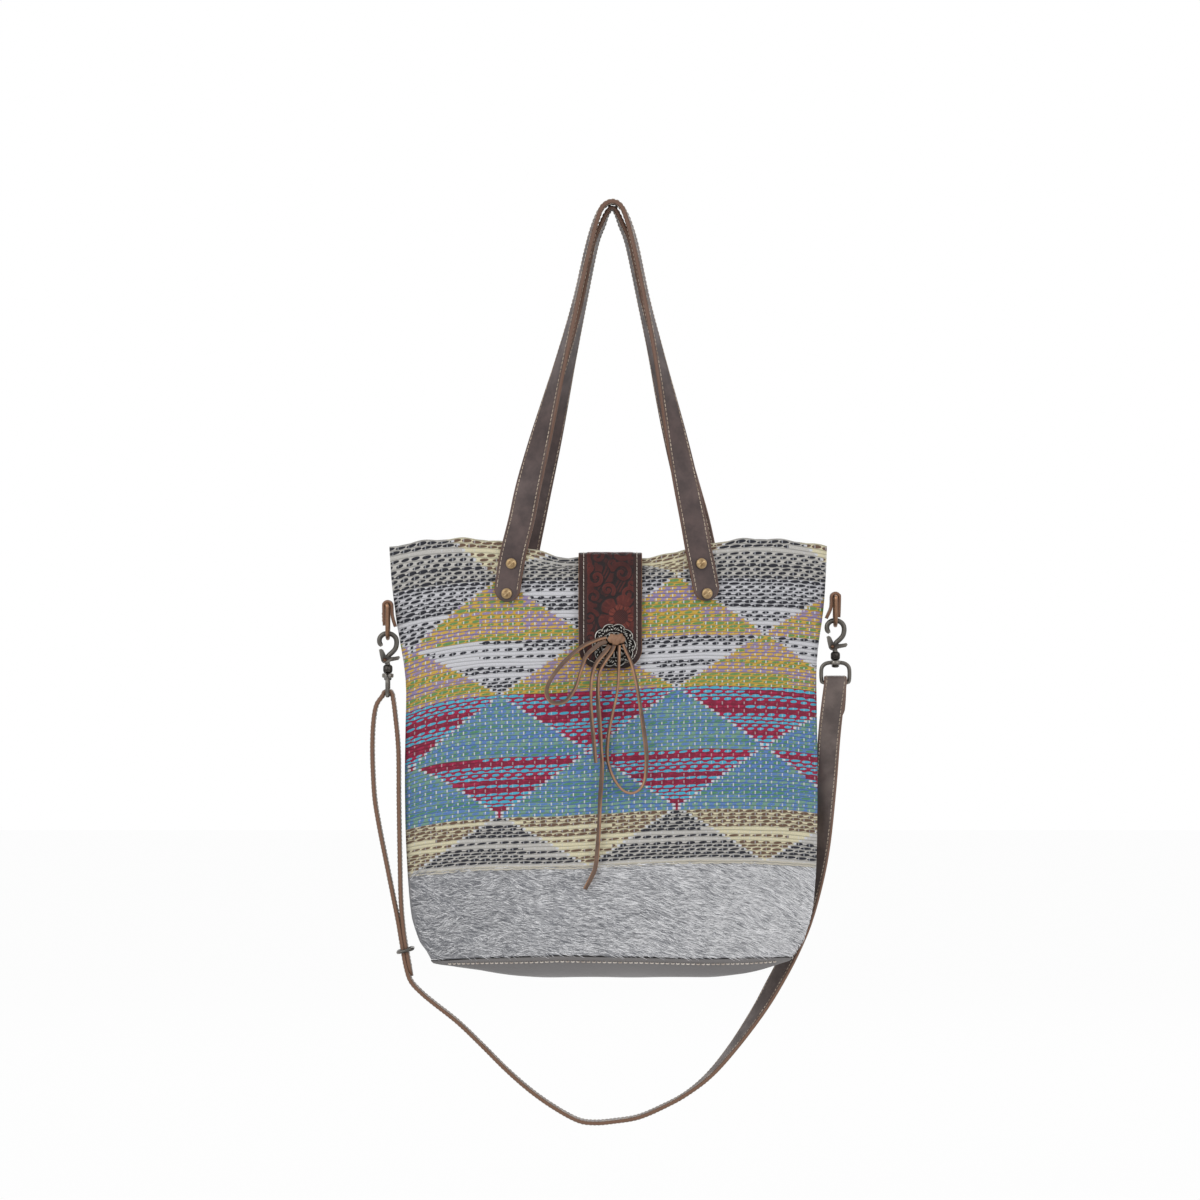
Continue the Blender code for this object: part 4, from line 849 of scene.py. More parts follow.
def woven_panel(name, side, node):
    """A panel with one ridge for each pick, a hem at the mouth and an inner face just behind it."""
    columns = WEAVE_COLUMNS
    top_pick, end_pick = np.interp(-(MOUTH_Z + 0.1), -LEVELS, LEVEL_PICKS), 5.0 * PICKS_PER_BAND
    picks = np.arange(top_pick, end_pick + 0.61, 1.0 / ROWS_PER_PICK)
    z_rows = -np.interp(picks, LEVEL_PICKS, -LEVELS) - np.clip(picks - end_pick, 0, None) * 2.8
    z_grid, u_grid = np.meshgrid(z_rows, np.linspace(-1.0, 1.0, columns), indexing="ij")
    x = x_at(z_grid, u_grid)
    z = actual_z(x, z_grid)
    v = np.repeat(picks[:, None], columns, 1)
    wobble = 0.16 * np.sin(x / 9.0 + v * 1.9) + 0.12 * np.sin(x / 23.0 - v * 0.8)
    pick = np.floor(v)
    yarn = np.abs(np.sin(math.pi * v)) ** 0.6
    repeat = 2.0 * WARP_SPACING
    crossing = np.mod(x / repeat + 0.5 * pick + 0.5, 1.0) - 0.5
    pinch = 1.0 - 0.55 * np.exp(-((crossing * 2.0 * WARP_SPACING) / 1.1) ** 2)
    fat = 0.8 + 0.35 * np.sin(pick * 12.9898) * np.sin(pick * 4.1)
    lift = CLOTH - 0.9 + 1.7 * yarn * pinch * fat
    lift = lift + (HIDE_PLY + 0.6 - CLOTH) * ease((v - end_pick + 1.5) / 1.5)
    sag = 1.6 * np.sin(x / 31.0 + z / 47.0) * np.sin(z / 39.0 + 0.6) * ease((1.0 - np.abs(u_grid)) / 0.3)
    hem = 1.1 * ease((z_grid - (MOUTH_Z - 24.0)) / 2.0)
    close = ease((1.0 - np.abs(u_grid)) * 60.0)
    seat = section_y(x, z_grid) + SEAM_GAP
    y = seat + (lift + hem) * close + sag * 0.5
    z = z + wobble * 1.5 - 0.7 * np.abs(np.sin(math.pi * x / repeat)) * ease((v - end_pick + 0.6) / 0.8)
    edge_wave = 0.9 * np.sin(x / 5.3) * ease((z_grid - (MOUTH_Z - 5.0)) / 5.0)
    outer = np.stack([x, side * y, z + edge_wave], -1)
    rim = outer[:1].copy()
    rim[..., 1] = side * (seat[:1] + 0.6 * close[:1])
    inner_rows = np.linspace(0, len(z_rows) - 1, 26).astype(int)
    inner = np.stack([x, side * (seat + 0.25 * close), z], -1)[inner_rows]
    inner[:, :, 1] += side * sag[inner_rows] * 0.5 * close[inner_rows]
    lifted = rim.copy()
    lifted[..., 2] -= 0.4
    tuck = outer[-1:].copy()
    tuck[..., 1] = side * (seat[-1:] + HIDE_PLY + 0.1)
    vertices = np.concatenate([inner[::-1], lifted, rim + (0, 0, 0.5), outer, tuck]).reshape(-1, 3)
    total = len(inner) + 3 + len(outer)
    marks = np.stack([x, v], -1)
    uv = np.concatenate([marks[inner_rows][::-1], marks[:1], marks[:1], marks, marks[-1:]]).reshape(-1, 2)
    faces = grid_faces(total, columns)[:, :: -1 if side > 0 else 1]
    piece = add_mesh(name, vertices, faces, WEAVE, uv)
    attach(piece, "bag")
    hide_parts(node)
    return piece


woven = [woven_panel(label + "_woven_panel", side, label + "_panel") for label, side in FACES.items()]
print("weave faces:", len(woven[0].data.polygons))

# %% [markdown]
# ## The hide band and the base
# The lower band is hair-on hide. A skin carries thousands of short flat blades of hair laid to the right
# and slightly down, thicker and darker in clumps on the left. Real blades give the soft broken edge that
# a bump can't. The base is the same hide's napped back, seamed to the band with light thread.

# %% Hide band, base and lining
BASE_SEAM_ROW, HAIRS, QUICK_SHARE = -627.0, 20000, 0.35
HAIR_SECTIONS = ((0.0, 0.1), (0.4, 0.85), (0.75, 1.0), (1.0, 0.75))


def hide_material(name, low, high, fleck_scale):
    material, n, shader = new_material(name, 0.62, Sheen_Weight=0.25)
    patch = n.noise(n.object_place(), 26.0, 3.0)
    fleck = n.noise(n.object_place(), fleck_scale, 2.0)
    value = n.plus(n.times(n.attribute("tone"), 0.9), n.times(patch, 0.1))
    colour = n.ramp(n.step(value, 0.15, 0.85), [(0.0, low), (1.0, high)])
    return finish_material(material, n, shader, colour, None, fleck, 0.5, 0.35)


HAIR = hide_material("hide_hair", srgb(116, 118, 124), srgb(248, 248, 250), 420.0)
SKIN = hide_material("hide_skin", srgb(150, 151, 156), srgb(206, 206, 209), 700.0)
NAP = hide_material("napped_back", srgb(106, 103, 103), srgb(136, 133, 133), 700.0)


def hide_surface(x, z_row, side, lift):
    y = section_y(x, z_row) + SEAM_GAP + lift
    return np.stack([x, side * y, actual_z(x, z_row)], -1)


def hide_band(name, side, node):
    """The skin of one band, and its hair as flat tapering blades of three quads each."""
    columns = 120
    rows = np.linspace(WOVEN_END_Z + 0.4, BASE_SEAM_ROW, 44)
    z_grid, share = np.meshgrid(rows, np.linspace(-1.0, 1.0, columns), indexing="ij")
    x = x_at(z_grid, share)
    close = ease((1.0 - np.abs(share)) * 50.0)
    fold = ease((WOVEN_END_Z - z_grid) / 2.0) * ease((z_grid - BASE_SEAM_ROW) / 2.0)
    puff = 0.7 * np.sin(x / 27.0) * np.sin(z_grid / 15.0)
    lift = 0.4 + (HIDE_PLY - 0.4 + puff * 0.6) * close * fold
    outer = hide_surface(x, z_grid, side, 0.0)
    outer[..., 1] += side * lift
    inner = hide_surface(x[::-4], z_grid[::-4], side, 0.15)
    sheet = np.concatenate([inner, outer])
    tone = np.clip(0.42 + share * 0.14, 0, 1)
    tone = np.concatenate([tone[::-4], tone]).reshape(-1)
    faces = grid_faces(len(sheet), columns)[:, :: -1 if side > 0 else 1]
    base = add_mesh(name + "_skin", sheet.reshape(-1, 3), faces, SKIN, None, {"tone": tone})
    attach(base, "bag")
    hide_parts(node)
    count = int(HAIRS * (1.0))
    hz = rng.uniform(BASE_SEAM_ROW + 1.0, WOVEN_END_Z - 0.2, count)
    hu = rng.uniform(-0.995, 0.995, count)
    left, right = edges_at(hz)
    hx = x_at(hz, hu)
    clump = np.sin(hx / 9.0 + 2.0 * np.sin(hz / 13.0)) * np.sin(hz / 7.0 + 1.5 * np.sin(hx / 21.0))
    wild = np.interp(hu, (-1.0, -0.3, 1.0), (0.6, 0.3, 0.22))
    lean = np.radians(-12.0 - 9.0 * hu) + wild * (0.7 * clump + rng.normal(0, 0.55, count))
    length = rng.uniform(5.0, 8.5, count)
    width = rng.uniform(0.36, 0.6, count)
    strands = []
    for share_on, rise in HAIR_SECTIONS:
        sx = np.clip(hx + length * share_on * np.cos(lean), left + 0.3, right - 0.3)
        sz = np.maximum(hz + length * share_on * np.sin(lean), BASE_SEAM_ROW - 2.5)
        point = hide_surface(sx, sz, side, 0.0)
        loft = rise * (0.8 + 0.5 * clump + rng.uniform(0, 0.5, count)) * 0.9
        point[:, 1] += side * (HIDE_PLY + 0.05 + loft)
        w = width * (1.0 - 0.75 * share_on) / 2
        off = np.stack([-np.sin(lean) * w, np.zeros(count), np.cos(lean) * w], 1)
        strands += [point - off, point + off]
    vertices = np.stack(strands, 1).reshape(-1, 3)
    start = np.arange(count)[:, None, None] * 8
    quads = np.array([[0, 1, 3, 2], [2, 3, 5, 4], [4, 5, 7, 6]])[None]
    faces = (start + quads).reshape(-1, 4)
    shade = np.clip(0.5 + 0.14 * hu + 0.07 * clump + rng.normal(0, 0.27, count), 0, 1)
    tones = {"tone": np.repeat(shade, 8)}
    hair = add_mesh(name + "_hair", vertices, faces, HAIR, None, tones, smooth=False)
    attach(hair, "bag")
    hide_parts(node)


for label, side in FACES.items():
    hide_band(label + "_hide", side, label + "_hide_band")
print("hide made")


def base_panel():
    """The oval base: the band's own skin turned under, sagging to a flat strip in the middle."""
    columns, rows, most_sag = 150, 41, 15.0
    left, right = edges_at(BASE_SEAM_ROW)
    middle, half = (left + right) / 2, (right - left) / 2
    flat_half, deep = 75.0, 11.0
    dx = np.linspace(-half, half, columns)
    x = middle + dx
    edge = section_y(x, np.full_like(x, BASE_SEAM_ROW)) + HIDE_PLY * 0.9
    inner = np.minimum(deep, edge * 0.45)
    share = np.linspace(-1.0, 1.0, rows)
    y = share[None, :] * edge[:, None]
    across = np.clip(np.abs(y) - inner[:, None], 0, None) / (edge - inner)[:, None]
    along = np.clip(np.abs(dx) - flat_half, 0, None)[:, None] / (half - flat_half)
    slack = (1 - 0.25 * ease((-55.0 - dx) / 70.0))[:, None]
    sag = most_sag * (1 - across**2) * (1 - along**2) * slack
    tilt = (row_shift(x, BASE_SEAM_ROW) + settle(x, BASE_SEAM_ROW))[:, None] * (1 - sag / most_sag)
    dimple = 0.35 * np.sin(x / 11.0)[:, None] * np.sin(share * 9.0)[None, :] * (1 - across)
    low = BASE_SEAM_ROW - 0.3 - sag - HIDE_PLY + tilt + dimple
    rim = (np.abs(share) > 0.999)[None, :] | (np.abs(dx) > half - 0.01)[:, None]
    low = np.where(rim, low + 1.4, low)
    sheet = np.stack([np.repeat(x[:, None], rows, 1), y, low], -1)
    top = sheet + (0.0, 0.0, HIDE_PLY - 0.2)
    top = np.where(rim[..., None], sheet + (0.0, 0.0, 0.4), top)
    vertices = np.vstack([sheet.reshape(-1, 3), top.reshape(-1, 3)])
    faces = np.vstack([grid_faces(columns, rows)[:, ::-1], grid_faces(columns, rows, columns * rows)])
    piece = add_mesh("base_hide", vertices, faces, NAP, None, {"tone": np.full(len(vertices), 0.45)})
    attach(piece, "bag")
    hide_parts("base_panel")
    for name, side in FACES.items():
        line = sheet[6:-6, 1 if side < 0 else -2] + (0.0, side * 0.25, -0.5)
        normal = np.tile((0.0, side * 0.6, -0.8), (len(line), 1))
        v, f, uv = stitches(line, np.cross(normal, np.gradient(line, axis=0)), 0.0, 0.2, 4.4, 2.6, 0.55)
        seam = add_mesh(name + "_base_stitching", v, f, WHITE_THREAD, uv)
        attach(seam, "bag")


def lining():
    """A plain cotton inner bag, sewn in below the mouth and falling in soft folds."""
    material, n, shader = new_material("plain_cotton", 0.9)
    weave = n.add("TexWave", {"Vector": n.add("UVMap"), "Scale": 1.6, "Distortion": 0.4}, 1)
    tone = n.mix(weave, srgb(104, 97, 88), srgb(136, 128, 116))
    finish_material(material, n, shader, tone, None, weave, 0.3, 0.2)
    levels = np.linspace(HANDLE_TIP - 6.0, BASE_SEAM_ROW + 6.0, 60)
    angle = np.linspace(0, 2 * math.pi, 161)[:-1]
    shells = []
    for inset_x, inset_y in ((5.0, 2.8), (8.0, 3.7)):
        left, right = edges_at(levels)
        half = (right - left) / 2 - inset_x
        deep = depth_at(levels) - inset_y
        deep[0] += 1.9
        u = np.cos(angle)
        fold = 0.5 * np.sin(11 * angle)[None, :] * ease((HANDLE_TIP - 8.0 - levels) / 30.0)[:, None]
        swell = deep[:, None] - 1.0 - np.abs(fold) * 1.6
        y = swell * (1 - u**2)[None, :] * np.sign(np.pi - angle)[None, :]
        x = ((left + right) / 2)[:, None] + half[:, None] * u[None, :]
        z = np.repeat(levels[:, None], len(angle), 1)
        shells.append(np.stack([x, y, z], -1))
    outer, inner = shells
    sheet = np.concatenate([outer[::-1], inner])
    rows, count = len(sheet), len(angle)
    index = np.arange(rows * count).reshape(rows, count)
    around = np.roll(index, -1, 1)
    faces = np.stack([index[:-1], index[1:], around[1:], around[:-1]], -1).reshape(-1, 4).tolist()
    faces += [index[0].tolist(), index[-1][::-1].tolist()]
    uv = np.stack([np.tile(angle * 60.0, rows), sheet[..., 2].ravel()], 1)
    piece = add_mesh("inner_lining", sheet.reshape(-1, 3), faces, material, uv)
    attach(piece, "bag")
    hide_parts("lining")


base_panel()
lining()

# %% [markdown]
# ## Handles
# The two handles are thick doubled straps with waxed faces and raw tan edges, stitched along both edges,
# meeting on edge at the hook. Each is one sweep whose width direction turns from the bag's face to
# front-to-back at the top; the stitches follow the same path, and domed brass rivets hold the tips.

# %% Handles and rivets
HANDLE_WIDTH, HANDLE_PLY, HANDLE_LIFT, HANDLE_LEAN, HOOK_STAGGER = 22.0, 3.6, 0.5, 8.0, 5.0
END_REACH, END_STEP = 7.0, 0.7
HANDLE_TOPS = {"front": 5.7, "back": 1.8}
HANDLE_STITCH, STRAP_STITCH, TAB_STITCH = (3.7, 2.7, 0.38), (3.4, 2.4, 0.32), (2.8, 2.0, 0.3)
RIVET_ROWS, RIVET_POST = {"upper": -298.0, "lower": -323.0}, 1.6
RIVET_BACK = ((0.02, -1.35), (0.9, -1.3), (3.4, -1.2), (4.4, -0.7), (4.5, 0.0), (RIVET_POST, 0.1))
RIVET_CAP = ((4.5, 0.2), (4.5, 0.7), (4.2, 1.15), (3.4, 1.6), (2.2, 1.9), (0.9, 2.02), (0.02, 2.05))
LEGS = {
    "front_left": (
        (-89.0, -330.0), (-84.5, -300.0), (-81.0, -283.0), (-75.5, -261.0), (-68.5, -228.0), (-51.0, -160.0),
        (-40.0, -118.0), (-29.5, -76.0), (-19.0, -30.0), (-12.6, -8.0), (-7.4, 2.0),
    ),
    "front_right": (
        (80.5, -329.0), (75.0, -300.0), (71.5, -283.0), (67.6, -261.0), (61.0, -228.0), (47.0, -160.0),
        (38.0, -118.0), (28.6, -76.0), (19.0, -30.0), (12.6, -8.0), (7.4, 2.0),
    ),
    "back_left": (
        (-78.0, -330.0), (-74.5, -300.0), (-71.5, -283.0), (-67.0, -261.0), (-60.0, -228.0), (-43.5, -160.0),
        (-33.5, -118.0), (-24.0, -76.0), (-14.6, -30.0), (-8.0, -12.5), (-4.4, -3.6),
    ),
    "back_right": (
        (88.0, -329.0), (80.5, -300.0), (76.5, -283.0), (71.5, -261.0), (62.5, -228.0), (44.5, -160.0),
        (34.5, -118.0), (24.4, -76.0), (14.6, -30.0), (8.0, -12.5), (4.4, -3.6),
    ),
}


def handle_stations(label, apex_z, side):
    """Points, turn and slope of a handle's middle line, up its left leg and down its right one."""
    lift = 0.3 + HANDLE_PLY / 2.0 + HANDLE_LIFT
    stations = []
    for leg, points in (("left", LEGS[label + "_left"]), ("right", LEGS[label + "_right"][::-1])):
        for x, z in points:
            low = min(z, MOUTH_Z)
            face = [float(panel_face_y(x + d, low)) for d in (-5.0, 0.0, 5.0)]
            rise = min(max((z - MOUTH_Z) / (apex_z - MOUTH_Z), 0.0), 1.0)
            y = side * ((face[1] + lift) * (1 - rise) + HOOK_STAGGER * rise)
            open_up = HANDLE_LEAN * ease((rise - 0.35) / 0.3) * ease((1.0 - rise) / 0.08)
            turn = 90.0 * float(ease(rise / 0.74)) - float(open_up)
            stations.append((x, y, z, turn, side * (face[2] - face[0]) / 10.0 * (1 - rise)))
        if leg == "left":
            stations.append((0.3, side * HOOK_STAGGER, apex_z, 90.0, 0.0))
    return smooth_path(stations, 3.0)


def rounded(path, width):
    """The share of its full width that a band has at each point, so that both ends are half round."""
    run = run_along(path)
    near = np.minimum(np.minimum(width / 2, run), run[-1] - run)
    return np.maximum(np.sqrt(np.clip(1 - (1 - 2 * near / width) ** 2, 0, 1)), 0.12)


def end_steps(path):
    """Extra stations near both ends, so that a rounded end is round."""
    run, near = run_along(path), np.arange(0.0, END_REACH, END_STEP)
    middle = run[(run >= END_REACH) & (run <= run[-1] - END_REACH)]
    return sample(np.unique(np.concatenate([near, middle, run[-1] - near])), run, path)


def add_band(name, path, wide, width, profile, material):
    """A leather band with round ends, whose UVs keep the place across its full width."""
    v, f, uv = sweep(path, profile, wide, rounded(path, width))
    uv[:, 0] = np.tile(profile[:, 0], len(path))
    return add_mesh(name, v, f, material, uv)


def add_seams(name, path, wide, inset, lifts, size):
    """Tan thread along both edges of a band, at the given heights through it."""
    rows = [stitches(path, wide, edge * inset, lift, *size) for lift in lifts for edge in (-1.0, 1.0)]
    v, f, uv = merge(rows)
    return add_mesh(name, v, f, THREAD, uv)


def make_handle(label, apex_z, side):
    route = end_steps(handle_stations(label, apex_z, side))
    path, turn = route[:, :3], np.radians(route[:, 3])
    sign = np.where(np.arange(len(path)) > path[:, 2].argmax(), -1.0, 1.0)
    flat = unit(np.stack([np.ones(len(path)), route[:, 4], np.zeros(len(path))], 1))
    wide = flat * (sign * np.cos(turn))[:, None]
    wide[:, 1] += side * np.sin(turn)
    profile = band_profile(HANDLE_WIDTH, HANDLE_PLY, 10, 0.15)
    piece = add_band(label + "_handle_strap", path, wide, HANDLE_WIDTH, profile, HANDLE_LEATHER)
    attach(piece, "bag")
    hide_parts(label + "_handle")
    body, inset, lift = slice(10, len(path) - 10), HANDLE_WIDTH / 2 - 2.4, HANDLE_PLY / 2 - 0.1
    name = label + "_handle_stitching"
    seam = add_seams(name, path[body], wide[body], inset, (-lift, lift), HANDLE_STITCH)
    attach(seam, "bag")


for label, top in HANDLE_TOPS.items():
    make_handle(label, top, FACES[label])


def turned(profile, centre, axis, sides=36):
    """A round shape from (radius, height) pairs about Y or Z."""
    angle = np.linspace(0, 2 * math.pi, sides, endpoint=False)
    rings = [np.stack([r * np.cos(angle), r * np.sin(angle), np.full(sides, h)], 1) for r, h in profile]
    v = np.vstack(rings)
    if axis == "Y":
        v = v[:, [0, 2, 1]]
    return v + np.array(centre), ring_faces(len(profile), sides), np.zeros((len(v), 2))


for leg, points in LEGS.items():
    side = FACES[leg.split("_")[0]]
    (x0, z0), (x1, z1) = points[:2]
    for place, z in RIVET_ROWS.items():
        x = x0 + (x1 - x0) * (z - z0) / (z1 - z0)
        face = float(panel_face_y(x, z)) + 0.3 + HANDLE_PLY + HANDLE_LIFT + 1.2
        inner = float(section_y(x, z)) + 0.15 - 2.0
        shape = [(r, side * (inner + h)) for r, h in RIVET_BACK] + [(RIVET_POST, side * face)]
        shape += [(r, side * (face + h)) for r, h in RIVET_CAP]
        v, f, uv = turned(shape, (x, 0.0, z), "Y")
        piece = add_mesh("%s_rivet_%s" % (leg, place), v, f, BRASS, uv)
        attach(piece, "bag")
        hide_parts("%s_%s_rivet" % (leg, place))
print("handles and rivets made")

# %% [markdown]
# ## Shoulder strap and its ends
# The shoulder strap is a narrower band than the handles. It starts folded round the left clip's eye, runs
# down beside the bag, turns to face the viewer under the base, and rises on the right to its second fold.
# The slide keeps both plies together near the bottom, and two small tabs hold the rings at the seams.

# %% Shoulder strap and tabs
STRAP_WIDTH, STRAP_PLY, TAB_PLY, TAB_WIDTH = 19.0, 3.2, 2.6, 17.0
SIDES = {
    "left": {"out": -1.0, "bar": (-188.3, -333.0), "top": -354.5, "yaw": 90.0},
    "right": {"out": 1.0, "bar": (187.6, -326.0), "top": -343.6, "yaw": 0.0},
}
EYE_DROP, EYE_WIRE, RING_WIRE = 54.0, 3.4, 3.4
BEND = EYE_WIRE / 2 + 0.3 + STRAP_PLY / 2 + 0.5
STRAP_DOME = ((3.6, 0.0), (3.6, -0.5), (3.0, -1.1), (1.8, -1.6), (0.5, -1.8), (0.02, -1.82))


def strap_stations():
    """The strap's middle line and turn: left fold, round under the base, and up to the right fold."""
    left_x, left_z = SIDES["left"]["bar"][0], SIDES["left"]["top"] - EYE_DROP
    right_x, right_z = SIDES["right"]["bar"][0], SIDES["right"]["top"] - EYE_DROP
    stations = []
    for x, y in ((411.5, 976), (407.5, 955), (403.5, 930), (401, 900), (400, 860), (399, 800), (398.5, 750)):
        px, pz = from_photo(x, y)
        stations.append((px, 0.0, pz, 0.0))
    stations.append((left_x + BEND + 2.2, 0.0, left_z - 16.0, 0.0))
    for a in np.radians((0, 45, 90, 135, 180)):
        stations.append((left_x + BEND * math.cos(a), 0.0, left_z + BEND * math.sin(a), 0.0))
    for x, y in (
        (376.5, 705), (373.5, 722), (372.5, 745), (373, 770), (375, 800), (380, 830), (386, 860),
        (392, 890), (398, 920), (402.2, 945), (406, 966), (411, 981), (422, 993), (434, 1003), (458, 1022),
        (482, 1045), (506, 1069), (530, 1090), (554, 1107), (578, 1120), (595, 1122.5), (614, 1121),
        (638, 1117), (662, 1107), (686, 1094),
    ):
        px, pz = from_photo(x, y)
        stations.append((px, 0.0, pz, 0.0))
    for x, y, ahead, turn in (
        (710, 1075, 4, 10), (734, 1047, 8, 20), (758, 1013, 12, 33), (774, 986, 15, 42),
        (789, 958, 18, 45), (803, 925, 20, 48), (814, 885, 19, 52), (821, 845, 16, 58),
        (826, 790, 11, 66), (829, 740, 6, 78), (832, 708, 3, 88),
    ):
        px, pz = from_photo(x, y)
        share = float(ease((turn - 60.0) / 28.0))
        stations.append((px, ahead - share * 6.6, pz, turn))
    for a in np.radians((0, 45, 90, 135, 180)):
        stations.append((right_x, -BEND * math.cos(a), right_z + BEND * math.sin(a), 90.0))
    stations.append((right_x - 0.6, BEND + 0.6, right_z - 16.0, 89.0))
    stations.append((right_x - 2.2, BEND + 3.4, right_z - 31.0, 84.0))
    return end_steps(smooth_path(stations, 2.2))


def make_strap():
    route = strap_stations()
    path, turn = route[:, :3], np.radians(route[:, 3])
    wide = np.stack([np.sin(turn), -np.cos(turn), np.zeros(len(turn))], 1)
    profile = band_profile(STRAP_WIDTH, STRAP_PLY, 10, 0.12)
    piece = add_band("shoulder_strap_leather", path, wide, STRAP_WIDTH, profile, STRAP_LEATHER)
    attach(piece, "strap")
    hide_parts("shoulder_strap")
    body, inset, lift = slice(8, len(path) - 8), STRAP_WIDTH / 2 - 2.1, STRAP_PLY / 2 - 0.16
    name = "shoulder_strap_stitching"
    seam = add_seams(name, path[body], wide[body], inset, (-lift, lift), STRAP_STITCH)
    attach(seam, "strap")
    z = from_photo(829, 712)[1]
    nearest = path[np.abs(path[:, 2] - z).argsort()]
    spot = nearest[nearest[:, 0] > 150.0][0]
    centre = (spot[0], spot[1] - STRAP_PLY / 2 - 0.1, spot[2])
    v, f, uv = turned(STRAP_DOME, centre, "Y", 24)
    cap = add_mesh("strap_end_rivet", v, f, BRASS, uv)
    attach(cap, "strap")


def side_tab(label):
    place = SIDES[label]
    out, (bar_x, bar_z) = place["out"], place["bar"]
    radius = RING_WIRE / 2 + 0.3 + TAB_PLY / 2
    inner_x, end_z = bar_x - out * radius, bar_z - 18.0
    edge = float(edges_at(end_z + 9.0)[0 if out < 0 else 1])
    seat = edge + out * (0.3 + TAB_PLY / 2 + 0.8)
    stations = [(seat, 0.0, end_z), (inner_x - out * 0.6, 0.0, bar_z - 9.0)]
    for a in np.radians(range(0, 181, 30)):
        stations.append((bar_x - out * radius * math.cos(a), 0.0, bar_z + radius * math.sin(a)))
    stations.append((bar_x + out * (radius - 0.4), 0.0, bar_z - 17.0))
    path = smooth_path(stations, 0.8)
    wide = np.tile((0.0, 1.0, 0.0), (len(path), 1))
    profile = band_profile(TAB_WIDTH, TAB_PLY, 8, 0.1)
    piece = add_band(label + "_tab_leather", path, wide, TAB_WIDTH, profile, TAB_LEATHER)
    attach(piece, "bag")
    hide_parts(label + "_side_tab")
    low, inset = slice(len(path) - 17, len(path) - 2), TAB_WIDTH / 2 - 2.2
    seam = add_seams(label + "_tab_stitching", path[low], wide[low], inset, (-TAB_PLY / 2,), TAB_STITCH)
    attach(seam, "bag")


make_strap()
side_tab("left")
side_tab("right")
print("strap and tabs made")

# %% [markdown]
# ## Tooled flap and ornament
# The flap is carved leather: a flower with two rings of petals and leaf scrolls stand up from a dark
# stippled ground. The relief is worked out as a height for every vertex, and the same height drives the
# colour, because dye stays dark in the hollows and is rubbed off the high parts.

# %% Flap, stitching and concho
FLAP_WIDTH, FLAP_END_Z, FLAP_CORNER = 53.0, -385.5, 17.0
FLOWER_ACROSS, FLOWER_DOWN, FLOWER_HEART, FLOWER_CLEAR = 8.6, 43.0, 6.2, 17.0
FLAP_COLUMNS, FLAP_ROWS, FLAP_END_ROWS, FLAP_END_RUN, FLAP_SEAM_IN = 88, 230, 52, 18, 4.3
CONCHO_RADIUS = 17.4
PETALS = ((6, 19.5, 0.3, 0.8), (7, 11.5, 0.82, 0.95))
SCROLLS = (
    (-12, 76, 8.0, 1, 1.5), (10, 80, 8.5, -1, 1.5), (-14, 60, 7.5, -1, 1.4), (-2, 66, 5.5, 1, 1.3),
    (15, 62, 7.0, 1, 1.4), (-17, 43, 6.5, 1, 1.3), (-16, 26, 6.5, -1, 1.3), (19, 16, 5.0, 1, 1.2),
    (-6, 11, 6.0, 1, 1.3), (9, 10, 5.0, -1, 1.2), (-11, 94, 8.0, -1, 1.5), (11, 99, 8.0, 1, 1.5),
    (0, 112, 7.5, 1, 1.4), (-13, 126, 7.5, 1, 1.4), (13, 130, 7.5, -1, 1.4), (0, 143, 7.0, -1, 1.3),
    (-16, 150, 6.0, 1, 1.2), (18, 46, 4.5, -1, 1.2), (2, 88, 4.0, -1, 1.1), (-18, 68, 3.2, -1, 1.0),
    (18, 71, 3.6, -1, 1.0), (-1, 55, 3.6, -1, 1.0), (-18, 52, 3.4, 1, 1.0), (17, 54, 3.4, 1, 1.0),
    (-19, 35, 3.2, -1, 1.0), (20, 28, 3.4, 1, 1.0), (-18, 17, 3.6, 1, 1.0), (0, 5, 3.0, -1, 1.0),
    (13, 22, 3.2, -1, 1.0), (-3, 101, 4.2, 1, 1.1), (18, 89, 3.4, 1, 1.0), (-18, 84, 3.2, 1, 1.0),
    (-9, 105, 4.0, 1, 1.1), (14, 113, 4.5, -1, 1.1), (-15, 113, 4.5, 1, 1.1),
)
MOUTH_TOP = float(actual_z(np.array([FLAP_X]), np.array([MOUTH_Z]))[0])


def flap_route():
    """The flap's middle line: from the back hem over the open mouth and down the front."""
    lift = 0.3 + FLAP_PLY / 2
    over = MOUTH_TOP + lift
    back_y = float(section_y(FLAP_X, MOUTH_Z)) + CLOTH * 0.5
    front = [(z, -float(panel_face_y(FLAP_X, z)) - lift) for z in (-300.0, -320.0, -340.0, -362.0)]
    stations = [
        (back_y, over + 0.6), (back_y - 18.0, over + 2.2), (0.0, over + 2.0), (-back_y + 10.0, over + 2.0),
        (front[0][1] + 1.2, over + 1.2), (front[0][1] - 2.4, MOUTH_TOP - 4.0),
    ]
    stations += [(y - 1.5, z) for z, y in front[1:]]
    stations.append((-float(panel_face_y(FLAP_X, FLAP_END_Z)) - lift - 1.5, FLAP_END_Z))
    return smooth_path([(FLAP_X, y, z) for y, z in stations], 0.55)


FLAP_PATH = flap_route()
FLAP_RUN = run_along(FLAP_PATH)
FLAP_NORMAL = frames_along(FLAP_PATH, np.tile((1.0, 0.0, 0.0), (len(FLAP_PATH), 1)))[2]
FLAP_OUT = -np.sign(FLAP_NORMAL[-1, 1])


def flap_point(u, s, height):
    """A place on the flap from its distance across, its distance along and its height over the middle."""
    normal = sample(s, FLAP_RUN, FLAP_NORMAL) * FLAP_OUT
    place = sample(s, FLAP_RUN, FLAP_PATH) + normal * np.asarray(height)[..., None]
    place[..., 0] += u
    return place


